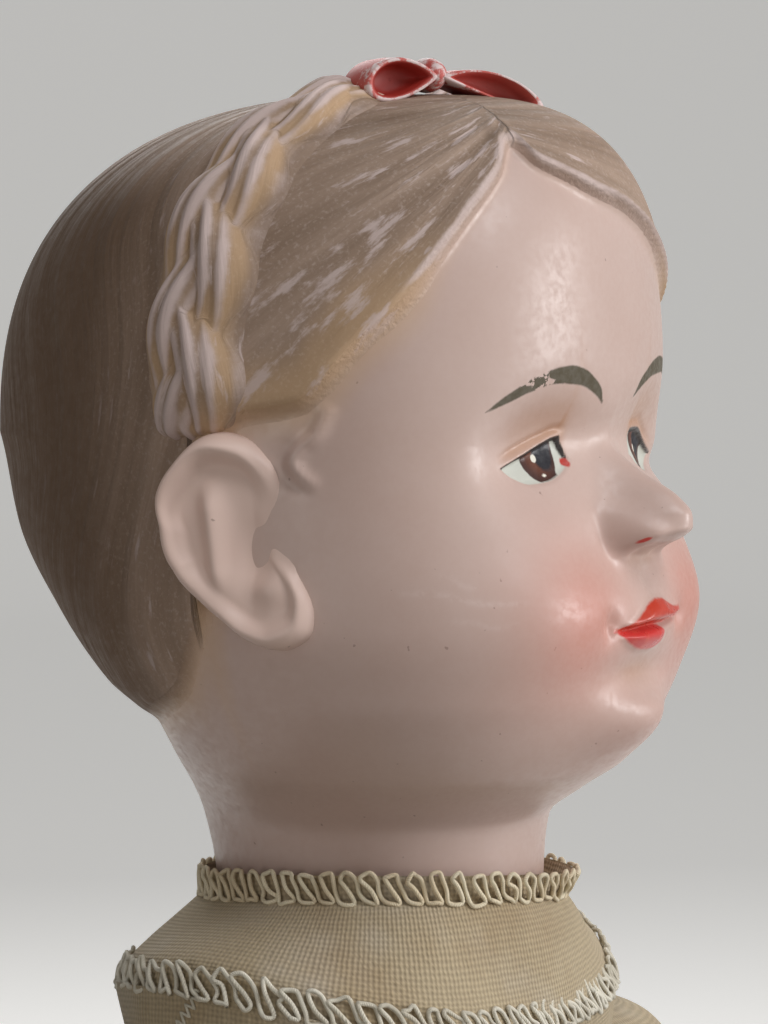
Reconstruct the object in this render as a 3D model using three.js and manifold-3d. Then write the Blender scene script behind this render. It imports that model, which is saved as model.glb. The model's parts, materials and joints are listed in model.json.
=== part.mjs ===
// A jointed composition doll with a moulded plaited hair style, dressed in a cotton romper.
// Millimetres, +Z up. The doll faces -Y, and its own left hand is towards +X.
// The origin is on the floor under the middle of the doll.
import * as THREE from "three";
import { mergeVertices } from "three/addons/utils/BufferGeometryUtils.js";
import Module from "manifold-3d";

const wasm = await Module();
wasm.setup();

// Fits and walls
const clearance = 0.3; // between pieces that touch
const headWall = 3.2;
const torsoWall = 2.8;
const cloth = 1.0;
const clothEase = 0.7; // between cloth and what it covers

// The joints' heights
const hipHeight = 142; // above the floor
const torsoRise = 96; // from the hips up to the neck pivot
const shoulderDrop = 32; // from the neck pivot down to the shoulders
const neckHeight = hipHeight + torsoRise;
const shoulderHeight = neckHeight - shoulderDrop;

// Head, measured up from the neck pivot
const seatRadius = 17; // the neck's round end, which turns in the torso's socket
const seatDepth = 13;
const browHeight = 45; // where the dome of the skull springs from
const domeRise = 33.4;
const domeHalfWidth = 30;
const domeFront = 26.6;
const domeBack = 39.2;
const eyeHeight = 43.4;
const eyeHalfSpacing = 10.8;
const noseTipHeight = 37.9;
const noseLength = 7;
const mouthHeight = 27;
const chinHeight = 17.8;
const hairStep = 0.9; // the moulded hair stands this far above the skin
const earHeight = 36;
const earLength = 22;
const earWidth = 13.6;
const earTilt = 0.37; // the top leans back
const plaitRadius = 3.9;
const plaitSetBack = 3; // the plait starts this far behind the neck's axis
const plaitLean = 6.5; // and comes this far forwards by the crown
const plaitLobes = 15;
const bowLoopLength = 11.5;
const bowLoopWidth = 7.5;
const bowTurn = 0.57; // the doll's left loop lies forwards
const headSeam = 10; // the mould seam runs this far behind the neck's axis, clear of the ears

// Torso
const neckRimDrop = 4; // the socket's rim lies this far below the neck pivot
const socketHole = 9;
const throatLength = 40;
const shoulderFace = 30.4; // the flat faces that the arms turn on
const shoulderBossRadius = 11.5;
const hipFace = 9.7; // the flat faces that the legs turn on
const hipRoofRise = 21; // from the hip axis up to the torso's underside over the legs
const stringHole = 4.5; // holes that the hooks pass through
const crotchDrop = 18; // from the hip axis down to the crotch

// Stringing
const wireRadius = 0.85;
const eyeletRadius = 2.8;
const elasticRadius = 1;
const neckBarRadius = 2;
const neckBarPocket = 1.5;
const hookEase = 0.9; // round the bar
const armElasticSpread = 7;
const legElasticSpread = 2;
const hookReach = 29; // from the neck pivot down to the elastic that the hook carries
const shankLength = 14;

// Cloth
const hemRise = 1.3; // from the torso's underside up to the bodice's hem
const yokeDrop = 8; // from the neck pivot down to the yoke's lower edge
const yokeTopDrop = 2;
const yokeFront = 21.2;
const yokeBack = 24.8;
const yokeHalfWidth = 28.2;
const yokeNeckRadius = 19.2;
const trimHeight = 2.8;
const trimThickness = 1.7;
const neckTrimRadius = 17.9; // inside
const sleeveDrop = 30; // from the shoulder axis down to the sleeve's hem
const kneeHemDrop = 47; // from the hip axis down to the hem over the knee
const gathers = 8;
const gatherDepth = 0.05;
const buttonRadius = 3;
const buttonThickness = 1.6;
const buttonDrops = { upper: 27, middle: 43, lower: 59 }; // below the neck pivot

// Feet, socks and shoes
const soleThickness = 3;
const soleMargin = 2.4;
const sockTop = 42;
const sockThickness = 0.7;
const shoeThickness = 1;
const shoeOpening = 13.5; // the height of the shoe's edge
const instepStart = -14;
const strapFront = -10.6;
const strapWidth = 4;
const strapButtonRadius = 2;

// Finishes
const finish = (color, roughness, metalness = 0) =>
  new THREE.MeshStandardMaterial({ color, roughness, metalness });
const skin = finish(0xd9b8a4, 0.42);
const romperCotton = finish(0xb49f7c, 0.95);
const trimThread = finish(0xd8ccb0, 0.9);
const steelWire = finish(0x8d8f92, 0.4, 0.9);
const elasticWeb = finish(0xe6e0d2, 0.9);
const dowelWood = finish(0xb58a56, 0.7);
const shoeLeather = finish(0x6e1f1a, 0.4);
const soleLeather = finish(0x8a6a48, 0.75);
const sockKnit = finish(0xeee8dc, 0.95);
const shellButton = finish(0xeae3d4, 0.3);

// Solids
function solidOf(geometry) {
  const bare = new THREE.BufferGeometry();
  bare.setAttribute("position", geometry.getAttribute("position"));
  bare.setIndex(geometry.index);
  const merged = mergeVertices(bare, 1e-4);
  return new wasm.Manifold(
    new wasm.Mesh({
      numProp: 3,
      vertProperties: new Float32Array(merged.attributes.position.array),
      triVerts: new Uint32Array(merged.index.array),
    }),
  );
}

function geometryOf(solid) {
  const mesh = solid.getMesh();
  const geometry = new THREE.BufferGeometry();
  geometry.setAttribute("position", new THREE.BufferAttribute(mesh.vertProperties.slice(), 3));
  geometry.setIndex(new THREE.BufferAttribute(mesh.triVerts.slice(), 1));
  geometry.computeVertexNormals();
  return geometry;
}

// Rings of points joined one to the next. A closed stack joins its last ring to its first,
// and an open one has a flat fan over each end.
function skinRings(rings, closed = false) {
  const count = rings[0].length;
  const points = rings.flat();
  const faces = [];
  const last = closed ? rings.length : rings.length - 1;
  for (let i = 0; i < last; i++) {
    const below = i * count;
    const above = ((i + 1) % rings.length) * count;
    for (let k = 0; k < count; k++) {
      const next = (k + 1) % count;
      faces.push(below + k, below + next, above + next, below + k, above + next, above + k);
    }
  }
  if (!closed) {
    const fan = (start, turned) => {
      const middle = new THREE.Vector3();
      for (let k = 0; k < count; k++) middle.addScaledVector(points[start + k], 1 / count);
      points.push(middle);
      for (let k = 0; k < count; k++) {
        const pair = [start + k, start + ((k + 1) % count)];
        if (turned) pair.reverse();
        faces.push(points.length - 1, pair[1], pair[0]);
      }
    };
    fan(0, false);
    fan((rings.length - 1) * count, true);
  }
  const geometry = new THREE.BufferGeometry().setFromPoints(points);
  geometry.setIndex(faces);
  return facingOut(geometry);
}

function facingOut(geometry) {
  const place = geometry.getAttribute("position");
  const index = geometry.index.array;
  const corner = [new THREE.Vector3(), new THREE.Vector3(), new THREE.Vector3()];
  let volume = 0;
  for (let i = 0; i < index.length; i += 3) {
    corner.forEach((c, k) => c.fromBufferAttribute(place, index[i + k]));
    volume += corner[0].dot(corner[1].clone().cross(corner[2]));
  }
  if (volume < 0) {
    for (let i = 0; i < index.length; i += 3) {
      [index[i + 1], index[i + 2]] = [index[i + 2], index[i + 1]];
    }
  }
  return geometry;
}

// A smooth run through a list of rows of numbers, as a function of its share from 0 to 1.
function runThrough(rows) {
  const width = rows[0].length;
  const curves = [];
  for (let first = 0; first < width; first += 3) {
    const points = rows.map((row) => new THREE.Vector3(...[0, 1, 2].map((k) => row[first + k] ?? 0)));
    curves.push(new THREE.CatmullRomCurve3(points, false, "catmullrom", 0.5));
  }
  return (share) => curves.flatMap((curve) => curve.getPoint(share).toArray()).slice(0, width);
}

// A flat ring, rounder or squarer by its power, with its own reach to the front and the back.
// A crowded ring has more of its points at the front.
function levelRing({ z, halfWidth, front, back, power = 2, x = 0, y = 0, crowd = 0 }, count) {
  return Array.from({ length: count }, (_, k) => {
    const even = (2 * Math.PI * k) / count;
    const turn = even - crowd * Math.sin(even);
    const side = Math.sin(turn);
    const ahead = Math.cos(turn);
    const reach = ahead > 0 ? front : back;
    const radius =
      ((Math.abs(side) / halfWidth) ** power + (Math.abs(ahead) / reach) ** power) ** (-1 / power);
    return new THREE.Vector3(x + radius * side, y - radius * ahead, z);
  });
}

// A limb: levels of [height, middle x, middle y, half width, half depth].
function limb(levels, { rings, sides, offset = 0, folds = 0 }) {
  const run = runThrough(levels);
  const stack = Array.from({ length: rings + 1 }, (_, i) => {
    const [z, x, y, halfWidth, halfDepth] = run(i / rings);
    const isEnd = i === 0 || i === rings;
    const lift = isEnd ? Math.sign(i - rings / 2) * offset : 0;
    const spread = isEnd ? offset / 2 : offset;
    const up = levels.at(-1)[0] > levels[0][0] ? 1 : -1;
    return Array.from({ length: sides }, (_, k) => {
      const turn = (2 * Math.PI * k) / sides;
      const swell = 1 + folds * Math.cos(gathers * turn) * (isEnd ? 0 : 1);
      return new THREE.Vector3(
        x + (halfWidth + spread) * swell * Math.sin(turn),
        y - (halfDepth + spread) * swell * Math.cos(turn),
        z + up * lift,
      );
    });
  });
  return solidOf(skinRings(stack));
}

// A band of cloth with an even wall, through levels of [height, half width, front, back].
function clothBand(levels, { rings, sides, power = 2.3 }) {
  const run = runThrough(levels);
  const at = (share, inset) => {
    const [z, halfWidth, front, back] = run(share);
    const [w, f, b] = [halfWidth, front, back].map((size) => size - inset);
    return levelRing({ z, halfWidth: w, front: f, back: b, power }, sides);
  };
  const shares = Array.from({ length: rings + 1 }, (_, i) => i / rings);
  const outside = shares.map((share) => at(share, 0));
  const inside = shares.map((share) => at(share, cloth)).reverse();
  return skinRings([...outside, ...inside], true);
}

// A flat oval band, used for the overlocked edgings.
function edging({ z, x = 0, y = 0, halfWidth, front, back, power = 2 }, sides) {
  const at = (height, grow) =>
    levelRing(
      { z: height, x, y, halfWidth: halfWidth + grow, front: front + grow, back: back + grow, power },
      sides,
    );
  return skinRings(
    [
      at(z, trimThickness),
      at(z + trimHeight, trimThickness),
      at(z + trimHeight, 0),
      at(z, 0),
    ],
    true,
  );
}

// A box between two corners.
function block(low, high) {
  const size = high.map((h, k) => h - low[k]);
  const middle = high.map((h, k) => (h + low[k]) / 2);
  return solidOf(new THREE.BoxGeometry(...size).translate(...middle));
}

// A round bar along X, from one x to another.
function crossBar(radius, from, to, z, sides = 16) {
  const bar = new THREE.CylinderGeometry(radius, radius, to - from, sides);
  return solidOf(bar.rotateZ(Math.PI / 2).translate((from + to) / 2, 0, z));
}

const far = 500; // past every piece, for cuts that go right through
const bothSides = [-1, 1];

// A round wire along a list of points.
function wire(points, radius, steps, sides = 6) {
  const ring = new THREE.Shape();
  ring.absarc(0, 0, radius, 0, 2 * Math.PI);
  const path = new THREE.CatmullRomCurve3(points);
  const options = { steps, extrudePath: path, curveSegments: sides / 2 };
  return new THREE.ExtrudeGeometry(ring, options);
}

// A round cord along a closed curve.
function cordLoop(curve, steps, sides = 5) {
  const rings = Array.from({ length: steps }, (_, i) => {
    const middle = curve.getPointAt(i / steps);
    const along = curve.getTangentAt(i / steps);
    const across = new THREE.Vector3(0.31, 0.17, 0.93).cross(along).normalize();
    const third = along.clone().cross(across);
    return Array.from({ length: sides }, (_, k) => {
      const turn = (2 * Math.PI * k) / sides;
      return middle
        .clone()
        .addScaledVector(across, elasticRadius * Math.cos(turn))
        .addScaledVector(third, elasticRadius * Math.sin(turn));
    });
  });
  return skinRings(rings, true);
}

// Head

// Levels below the dome: [height, half width, front, back], from the seat up to the brow.
const headLevels = [
  [-neckRimDrop, 16.5, 16.5, 16.5],
  [3, 16.3, 16.2, 17.3],
  [7, 17, 16.6, 18.2],
  [10, 19, 20.2, 18.6],
  [13, 22, 24.2, 18.9],
  [17.5, 25.4, 26.8, 19.7],
  [21, 27.4, 27.8, 24.2],
  [28, 29.4, 28.6, 30.2],
  [36, 29.7, 27.3, 36],
  [browHeight, domeHalfWidth, domeFront, domeBack],
];
const cheekPower = 2.4;
const browPower = 2.2;
const domePowers = { side: 2.4, front: 3.9, back: 2.4 };
const faceCrowding = 0.58;

function domeLevel(rise) {
  const share = (power) => (1 - rise ** power) ** (1 / power);
  return {
    z: browHeight + domeRise * rise,
    halfWidth: domeHalfWidth * share(domePowers.side),
    front: domeFront * share(domePowers.front),
    back: domeBack * share(domePowers.back),
    power: browPower,
  };
}

// Every level of the head, from the end of the neck to the crown.
function headStack(seatRings, faceRings, domeRings) {
  const seat = Array.from({ length: seatRings }, (_, i) => {
    const z = -seatDepth + ((seatDepth - neckRimDrop) * i) / seatRings;
    const radius = Math.sqrt(seatRadius ** 2 - z ** 2);
    return { z, halfWidth: radius, front: radius, back: radius };
  });
  const run = runThrough(headLevels);
  const face = Array.from({ length: faceRings }, (_, i) => {
    const [z, halfWidth, front, back] = run(i / faceRings);
    const cheek = (cheekPower - 2) * THREE.MathUtils.smoothstep(z, 4, 22);
    const power = 2 + cheek + (browPower - cheekPower) * THREE.MathUtils.smoothstep(z, 30, 44);
    return { z, halfWidth, front, back, power };
  });
  const dome = Array.from({ length: domeRings }, (_, i) => {
    return domeLevel(Math.sin((0.97 * Math.PI * i) / (2 * (domeRings - 1))));
  });
  return [...seat, ...face, ...dome];
}

const hump = (x, z, { at: [cx, cz], size: [sx, sz] }) =>
  Math.exp(-(((x - cx) / sx) ** 2) - ((z - cz) / sz) ** 2);

// How far the face stands in front of the plain skull. x is from the middle, z from the neck pivot.
function faceRelief(x, z) {
  const side = Math.abs(x);
  const down = THREE.MathUtils.clamp((eyeHeight + 3 - z) / (eyeHeight + 3 - noseTipHeight), 0, 1);
  const under = THREE.MathUtils.smoothstep(z, noseTipHeight - 4.2, noseTipHeight - 0.6);
  const bridge = 0.4 * noseLength * down ** 1.3 * under * Math.exp(-((x / 3) ** 2));
  const tip = 0.6 * noseLength * hump(x, z, { at: [0, noseTipHeight], size: [3.6, 2.7] });
  const wings = 2 * hump(side, z, { at: [4.1, noseTipHeight - 1.7], size: [1.8, 1.8] });
  const nose = bridge + tip + wings;
  const sockets = -3.7 * hump(side, z, { at: [eyeHalfSpacing - 0.6, eyeHeight + 1], size: [6.6, 4.4] });
  const eyes = 1.5 * hump(side, z, { at: [eyeHalfSpacing + 0.4, eyeHeight], size: [4.8, 3.4] });
  const saddle = -hump(x, z, { at: [0, eyeHeight + 1.2], size: [4.6, 3] });
  const cheeks = 1.8 * hump(side, z, { at: [17, mouthHeight + 3], size: [9, 8] });
  const muzzle = 1.3 * hump(x, z, { at: [0, mouthHeight + 1], size: [8, 6] });
  const lips =
    1.1 * hump(x, z, { at: [0, mouthHeight + 2], size: [4, 1.6] }) +
    1.1 * hump(x, z, { at: [0, mouthHeight - 2], size: [4, 1.5] });
  const chinFold = -1.4 * hump(x, z, { at: [0, mouthHeight - 5], size: [7, 2] });
  const chin = 3.2 * hump(x, z, { at: [0, chinHeight], size: [6.5, 4.2] });
  return nose + sockets + eyes + saddle + cheeks + muzzle + lips + chinFold + chin;
}

// The height of the hair's edge round the head, by the turn in degrees from the front towards
// the doll's left. It peaks at the parting, over the doll's right brow.
const hairline = [
  [-180, 16.5], [-125, 17.6], [-103, 21.4], [-95, 29], [-90, 44], [-84, 46], [-75, 41], [-71, 48],
  [-57, 57.5], [-42, 65.7], [-27, 72.6], [-22, 70.5], [1, 67], [21, 63], [40, 58.5], [57, 54], [71, 48],
  [75, 41], [84, 46], [90, 44], [95, 29], [103, 21.4], [125, 17.6], [180, 16.5],
];

function hairEdge(turn) {
  const degrees = THREE.MathUtils.radToDeg(turn);
  const next = Math.max(1, hairline.findIndex(([edge]) => edge >= degrees));
  const [[fromTurn, fromHeight], [toTurn, toHeight]] = [hairline[next - 1], hairline[next]];
  return THREE.MathUtils.mapLinear(degrees, fromTurn, toTurn, fromHeight, toHeight);
}

function headRing(level) {
  return levelRing({ ...level, crowd: faceCrowding }, 36).map((point) => {
    const turn = Math.atan2(point.x, -point.y);
    const ahead = THREE.MathUtils.smoothstep(Math.cos(turn), 0.1, 0.5);
    point.y -= ahead * faceRelief(point.x, level.z);
    const hair = hairStep * THREE.MathUtils.smoothstep(level.z - hairEdge(turn), -1, 1.5);
    const out = new THREE.Vector3(point.x, point.y, 0).normalize();
    return point.addScaledVector(out, hair);
  });
}

const headSkull = () => solidOf(skinRings(headStack(2, 19, 9).map(headRing)));

function headHollow() {
  const rings = headStack(1, 5, 4).map(({ z, halfWidth, front, back, power }) => {
    const [w, f, b] = [halfWidth, front, back].map((size) => Math.max(size - headWall, 0.5));
    const sink = (headWall * Math.max(z - browHeight, 0)) / domeRise;
    return levelRing({ z: z - sink, halfWidth: w, front: f, back: b, power }, 14);
  });
  const mouth = rings[0].map((point) => point.clone().setZ(-seatDepth - 1));
  return solidOf(skinRings([mouth, ...rings]));
}

// The plait runs from ear to ear over the crown. The arch is 0 at the doll's left ear.
function plaitPoint(arch) {
  const rise = Math.sin(arch);
  const across = Math.cos(arch);
  const round = 2 / domePowers.side;
  return new THREE.Vector3(
    (domeHalfWidth + hairStep) * Math.sign(across) * Math.abs(across) ** round,
    plaitSetBack - plaitLean * Math.abs(rise) ** 5,
    browHeight + (domeRise + hairStep) * Math.abs(rise) ** round,
  );
}

function plait() {
  const steps = 45;
  const sides = 5;
  const rings = Array.from({ length: steps + 1 }, (_, i) => {
    const share = i / steps;
    const arch = Math.PI * (0.02 + 0.96 * share);
    const middle = plaitPoint(arch);
    const along = plaitPoint(arch + 0.03).sub(plaitPoint(arch - 0.03)).normalize();
    const flat = new THREE.Vector3(0, 1, 0);
    const out = flat.clone().cross(along).normalize();
    const lobe = 1 + 0.14 * Math.cos(2 * Math.PI * plaitLobes * share);
    const end = Math.sin(Math.PI * THREE.MathUtils.clamp(share, 0.02, 0.98)) ** 0.25;
    const sway = 0.8 * Math.sin(Math.PI * plaitLobes * share);
    return Array.from({ length: sides }, (_, k) => {
      const turn = (2 * Math.PI * k) / sides;
      return middle
        .clone()
        .addScaledVector(flat, plaitRadius * end * lobe * Math.cos(turn) + sway)
        .addScaledVector(out, 0.8 * plaitRadius * end * lobe * Math.sin(turn));
    });
  });
  return solidOf(skinRings(rings));
}

// A bow of two flat loops and a knot, lying in front of the plait over the parting.
function bow() {
  const place = plaitPoint(Math.PI / 2).add(
    new THREE.Vector3(-0.17 * bowLoopLength, -plaitRadius, -0.8),
  );
  const set = (shape) => solidOf(shape.rotateZ(-bowTurn).translate(...place.toArray()));
  const loop = (side) =>
    new THREE.SphereGeometry(1, 10, 6)
      .scale(bowLoopLength / 2, bowLoopWidth / 2, 1.7)
      .translate(side * bowLoopLength * 0.5, 0, 0)
      .rotateY(side * 0.22);
  const knot = new THREE.SphereGeometry(1, 8, 6).scale(2.4, 3, 2.3);
  return set(knot).add(set(loop(1))).add(set(loop(-1)));
}

// An ear: a leaning oval with a hollowed face.
function ear(side) {
  const set = (shape) =>
    solidOf(
      facingOut(
        shape
          .rotateX(-earTilt)
          .rotateZ(-0.3)
          .translate(domeHalfWidth - 0.8, -1.3, earHeight)
          .scale(side, 1, 1),
      ),
    );
  const rim = new THREE.SphereGeometry(1, 12, 8).scale(4.2, earWidth / 2, earLength / 2);
  const dish = new THREE.SphereGeometry(1, 8, 6).scale(2.6, earWidth / 3.4, earLength / 3.6);
  return set(rim).subtract(set(dish.translate(4, -1.2, 0)));
}

function headSolid() {
  let head = headSkull().add(plait()).add(bow());
  for (const side of bothSides) head = head.add(ear(side));
  const pocketEnd = seatRadius - headWall + neckBarPocket + clearance;
  return head
    .subtract(headHollow())
    .subtract(crossBar(neckBarRadius + clearance, -pocketEnd, pocketEnd, 0, 12));
}

// The two halves that were glued along a mould seam across the body.
const frontOf = (solid, seam) =>
  solid.intersect(block([-far, -far, -far], [far, seam - clearance / 2, far]));
const backOf = (solid, seam) =>
  solid.intersect(block([-far, seam + clearance / 2, -far], [far, far, far]));

// Torso

// Levels: [height, half width, front, back].
const torsoLevels = [
  [hipHeight - crotchDrop, 12, 13, 14],
  [hipHeight - 13, 21, 19, 20],
  [hipHeight - 4, 28, 22, 23],
  [hipHeight + 10, 32, 24.5, 23.5],
  [hipHeight + 24, 31.5, 25.5, 21.5],
  [neckHeight - 56, 28.8, 24, 19],
  [neckHeight - 43, 28.4, 21.4, 18],
  [neckHeight - 32, 28.6, 19.4, 18.5],
  [neckHeight - 23, 28.6, 18, 18.5],
  [neckHeight - 15, 27.6, 17.3, 18.2],
  [neckHeight - 9.5, 24, 17.6, 18.4],
  [neckHeight - 6, 20.5, 18.1, 18.5],
  [neckHeight - neckRimDrop, 18.8, 18.6, 18.6],
];
const torsoPower = 2.3;
const hipRoof = hipHeight + hipRoofRise;

function torsoLoft(inset, sides) {
  const run = runThrough(torsoLevels);
  const rings = 14;
  const stack = Array.from({ length: rings + 1 }, (_, i) => {
    const [z, halfWidth, front, back] = run(i / rings);
    const [w, f, b] = [halfWidth, front, back].map((size) => size - inset);
    const lift = i === 0 ? inset : i === rings ? -inset : 0;
    return levelRing({ z: z + lift, halfWidth: w, front: f, back: b, power: torsoPower }, sides);
  });
  return solidOf(skinRings(stack));
}

// The space either side of the crotch that the thighs fill.
function thighRoom(side, face, roof) {
  const xs = [side * face, side * far].sort((a, b) => a - b);
  return block([xs[0], -far, -far], [xs[1], far, roof]);
}

function torsoSolid() {
  const socketBall = new THREE.SphereGeometry(seatRadius + clearance, 24, 14).translate(0, 0, neckHeight);
  const cupBall = new THREE.SphereGeometry(seatRadius + clearance + torsoWall, 16, 10);
  const cup = solidOf(cupBall.translate(0, 0, neckHeight));
  const outside = torsoLoft(0, 20);
  let hollow = torsoLoft(torsoWall, 12);
  let torso = outside;
  for (const side of bothSides) {
    hollow = hollow.subtract(thighRoom(side, hipFace - torsoWall, hipRoof + torsoWall));
    torso = torso.subtract(thighRoom(side, hipFace, hipRoof));
    const faces = [side * shoulderFace, side * (shoulderFace - 10)].sort((a, b) => a - b);
    torso = torso.add(crossBar(shoulderBossRadius, ...faces, shoulderHeight));
  }
  const throat = new THREE.CylinderGeometry(socketHole, socketHole, throatLength, 12).rotateX(Math.PI / 2);
  return torso
    .subtract(hollow.subtract(cup))
    .subtract(solidOf(socketBall))
    .subtract(solidOf(throat.translate(0, 0, neckHeight - seatDepth)))
    .subtract(crossBar(stringHole, -far, far, shoulderHeight, 8))
    .subtract(crossBar(stringHole, -hipFace - 1, hipFace + 1, hipHeight, 8));
}

// Limbs, as the doll's left ones. Levels: [height, middle x, middle y, half width, half depth].
const armFace = shoulderFace + clearance;
const legFace = hipFace + clearance;

const armLevels = [
  [12.3, 7.6, 0, 1.5, 1.5],
  [10, 7.6, 0, 7, 8],
  [6, 7.6, 0, 9.6, 10.5],
  [0, 8.1, 0, 10.4, 11.4],
  [-11, 9.6, 0.3, 9.8, 10.6],
  [-23, 11.6, 0.3, 8.8, 9.4],
  [-35, 14.1, -1, 8.4, 8.8],
  [-47, 16.6, -4, 8, 8.4],
  [-57, 18.6, -7, 6.4, 6.8],
  [-64, 19.8, -9, 5.2, 5.8],
  [-71, 20.6, -11, 4.6, 7.4],
  [-78, 21.1, -12.8, 4.2, 8.4],
  [-81, 21.3, -13.4, 3, 6.5],
].map(([z, x, ...rest]) => [shoulderHeight + z, armFace + x, ...rest]);

const legLevels = [
  [hipHeight + 15.5, 13, 0.5, 1.5, 1.5],
  [hipHeight + 13, 13, 0.5, 9, 9.5],
  [hipHeight + 8, 13, 0.5, 13, 13.8],
  [hipHeight, 13.2, 0.5, 15, 16],
  [hipHeight - 14, 12.8, 0.4, 14.8, 16],
  [hipHeight - 34, 12, 0.2, 13.2, 14.2],
  [90, 11.6, 0, 11.8, 12.4],
  [80, 11.5, 0, 11.8, 12.2],
  [70, 11.4, 2, 11, 11.4],
  [56, 11.2, 4, 10.8, 11.8],
  [38, 11, 4, 8.8, 9.4],
  [26, 11, 4, 7.6, 8.2],
  [14, 11, 4, 7.6, 8.2],
  [11, 11, 4, 4, 5],
].map(([z, x, ...rest]) => [z, legFace + x, ...rest]);

// The foot, from the heel to the toes: [y, middle z, half width, half height].
const footMiddle = legFace + 11;
const footLevels = [
  [15.5, 8.5, 1.5, 1.5],
  [13.5, 10, 5.8, 5],
  [7, 11.5, 8, 7],
  [-2, 11.6, 8.6, 7.1],
  [-10, 10.8, 9, 6.1],
  [-18, 9.6, 9, 4.9],
  [-24, 9, 7, 4],
  [-27.5, 8.8, 1.5, 1.5],
];

function foot(offset) {
  const run = runThrough(footLevels);
  const rings = 8;
  const sides = 8;
  const stack = Array.from({ length: rings + 1 }, (_, i) => {
    const [y, z, halfWidth, halfHeight] = run(i / rings);
    const isEnd = i === 0 || i === rings;
    const push = i === 0 ? offset : i === rings ? -offset : 0;
    const spread = isEnd ? offset / 2 : offset;
    return Array.from({ length: sides }, (_, k) => {
      const turn = (2 * Math.PI * k) / sides;
      const across = (halfWidth + spread) * Math.sin(turn);
      return new THREE.Vector3(footMiddle + across, y + push, z + (halfHeight + spread) * Math.cos(turn));
    });
  });
  return solidOf(skinRings(stack));
}

const leg = (offset) => limb(legLevels, { rings: 14, sides: 12, offset });
const arm = (offset) => limb(armLevels, { rings: 14, sides: 12, offset });
const outwardOf = (face) => block([face, -far, -far], [far, far, far]);

// A finger: a small capsule from one point to another.
function finger(from, to, radius) {
  const along = to.clone().sub(from);
  const shape = new THREE.CapsuleGeometry(radius, along.length(), 2, 6);
  const turn = new THREE.Quaternion().setFromUnitVectors(
    new THREE.Vector3(0, 1, 0),
    along.clone().normalize(),
  );
  const middle = from.clone().add(to).multiplyScalar(0.5);
  return solidOf(shape.applyQuaternion(turn).translate(...middle.toArray()));
}

function armSolid() {
  let solid = arm(0).intersect(outwardOf(armFace));
  const [palmZ, palmX, palmY] = armLevels.at(-2);
  const palm = new THREE.Vector3(palmX, palmY, palmZ);
  const reaches = [-9, -11.5, -12, -10];
  reaches.forEach((reach, i) => {
    const from = palm.clone().add(new THREE.Vector3(0, -5.6 + 3.8 * i, 0));
    const to = from.clone().add(new THREE.Vector3(-1.6, -2.5 + 0.8 * i, reach));
    solid = solid.add(finger(from, to, 1.9));
  });
  const thumb = palm.clone().add(new THREE.Vector3(-1, -5.2, 6));
  solid = solid.add(finger(thumb, thumb.clone().add(new THREE.Vector3(-2.5, -5.2, -7)), 2.1));
  const bore = crossBar(wireRadius + clearance, armFace - 1, armFace + shankLength, shoulderHeight, 8);
  return solid.subtract(bore);
}

function legSolid() {
  const bore = crossBar(wireRadius + clearance, legFace - 1, legFace + shankLength, hipHeight, 8);
  return leg(0).add(foot(0)).intersect(outwardOf(legFace)).subtract(bore);
}

// A wire eye with a straight shank along X, for stringing a limb.
function limbHook(eyeX, shankEnd, z) {
  const eye = new THREE.TorusGeometry(eyeletRadius, wireRadius, 6, 12).rotateX(Math.PI / 2);
  const shank = crossBar(wireRadius, eyeX + eyeletRadius, shankEnd, z, 6);
  return solidOf(eye.translate(eyeX, 0, z)).add(shank);
}

const armEyeX = shoulderFace - torsoWall - 3.6;
const legEyeX = hipFace - torsoWall - 2;

function armElastic() {
  const reach = armEyeX - armElasticSpread;
  const bend = [0, 0.25, 0.5, 0.75, 1].map((share) => Math.PI * (share - 0.5));
  const end = (side) =>
    bend.map(
      (turn) =>
        new THREE.Vector3(
          side * (reach + armElasticSpread * Math.cos(turn)),
          side * armElasticSpread * Math.sin(turn),
          shoulderHeight,
        ),
    );
  return cordLoop(new THREE.CatmullRomCurve3([...end(1), ...end(-1)], true), 30);
}

function legElastic() {
  const top = neckHeight - hookReach;
  const drop = (side, ys) =>
    ys.map((y) => {
      const lift = Math.abs(y) > 0 ? legElasticSpread : 0;
      return new THREE.Vector3(side * legEyeX, y, hipHeight + lift);
    });
  const over = (y, side) =>
    [side, 0, -side].map((x) => new THREE.Vector3(1.6 * x, y, top - (x === 0 ? 0 : 2.5)));
  const spread = legElasticSpread;
  const points = [
    ...drop(1, [-spread, 0, spread]),
    ...over(spread, 1),
    ...drop(-1, [spread, 0, -spread]),
    ...over(-spread, -1),
  ];
  return cordLoop(new THREE.CatmullRomCurve3(points, true, "catmullrom", 0.2), 36);
}

// The hook hangs from the bar in the neck and carries the leg elastic in its lower bend.
function neckHook() {
  const bend = neckBarRadius + hookEase + wireRadius;
  const low = neckHeight - hookReach - elasticRadius - clearance - wireRadius;
  const points = [
    [-bend, neckHeight - 3],
    [-bend, neckHeight],
    [0, neckHeight + bend],
    [bend, neckHeight],
    [bend + 0.6, neckHeight - 12],
    [bend + 1.2, low + 6],
    [bend, low + 1.6],
    [0, low],
    [-bend, low + 1.6],
    [-bend - 1, low + 5],
  ].map(([y, z]) => new THREE.Vector3(0, y, z));
  return wire(points, wireRadius, 34);
}

// Romper

const overTorso = ([z, ...sizes]) => [z, ...sizes.map((size) => size + clothEase + cloth)];
const yokeLow = neckHeight - yokeDrop;
const yokeHigh = neckHeight - yokeTopDrop;
const yokeEdgingLow = yokeLow - clearance - trimHeight;
const bodiceTop = yokeEdgingLow - clearance;

// The bodice follows the torso, and stands away from it towards the yoke.
const bodiceLevels = [
  [hipRoof + hemRise, ...overTorso(torsoLevels[4]).slice(1)],
  ...torsoLevels.slice(5, 9).map(overTorso),
  [bodiceTop, yokeHalfWidth + 0.9, yokeFront, yokeBack],
];

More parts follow.
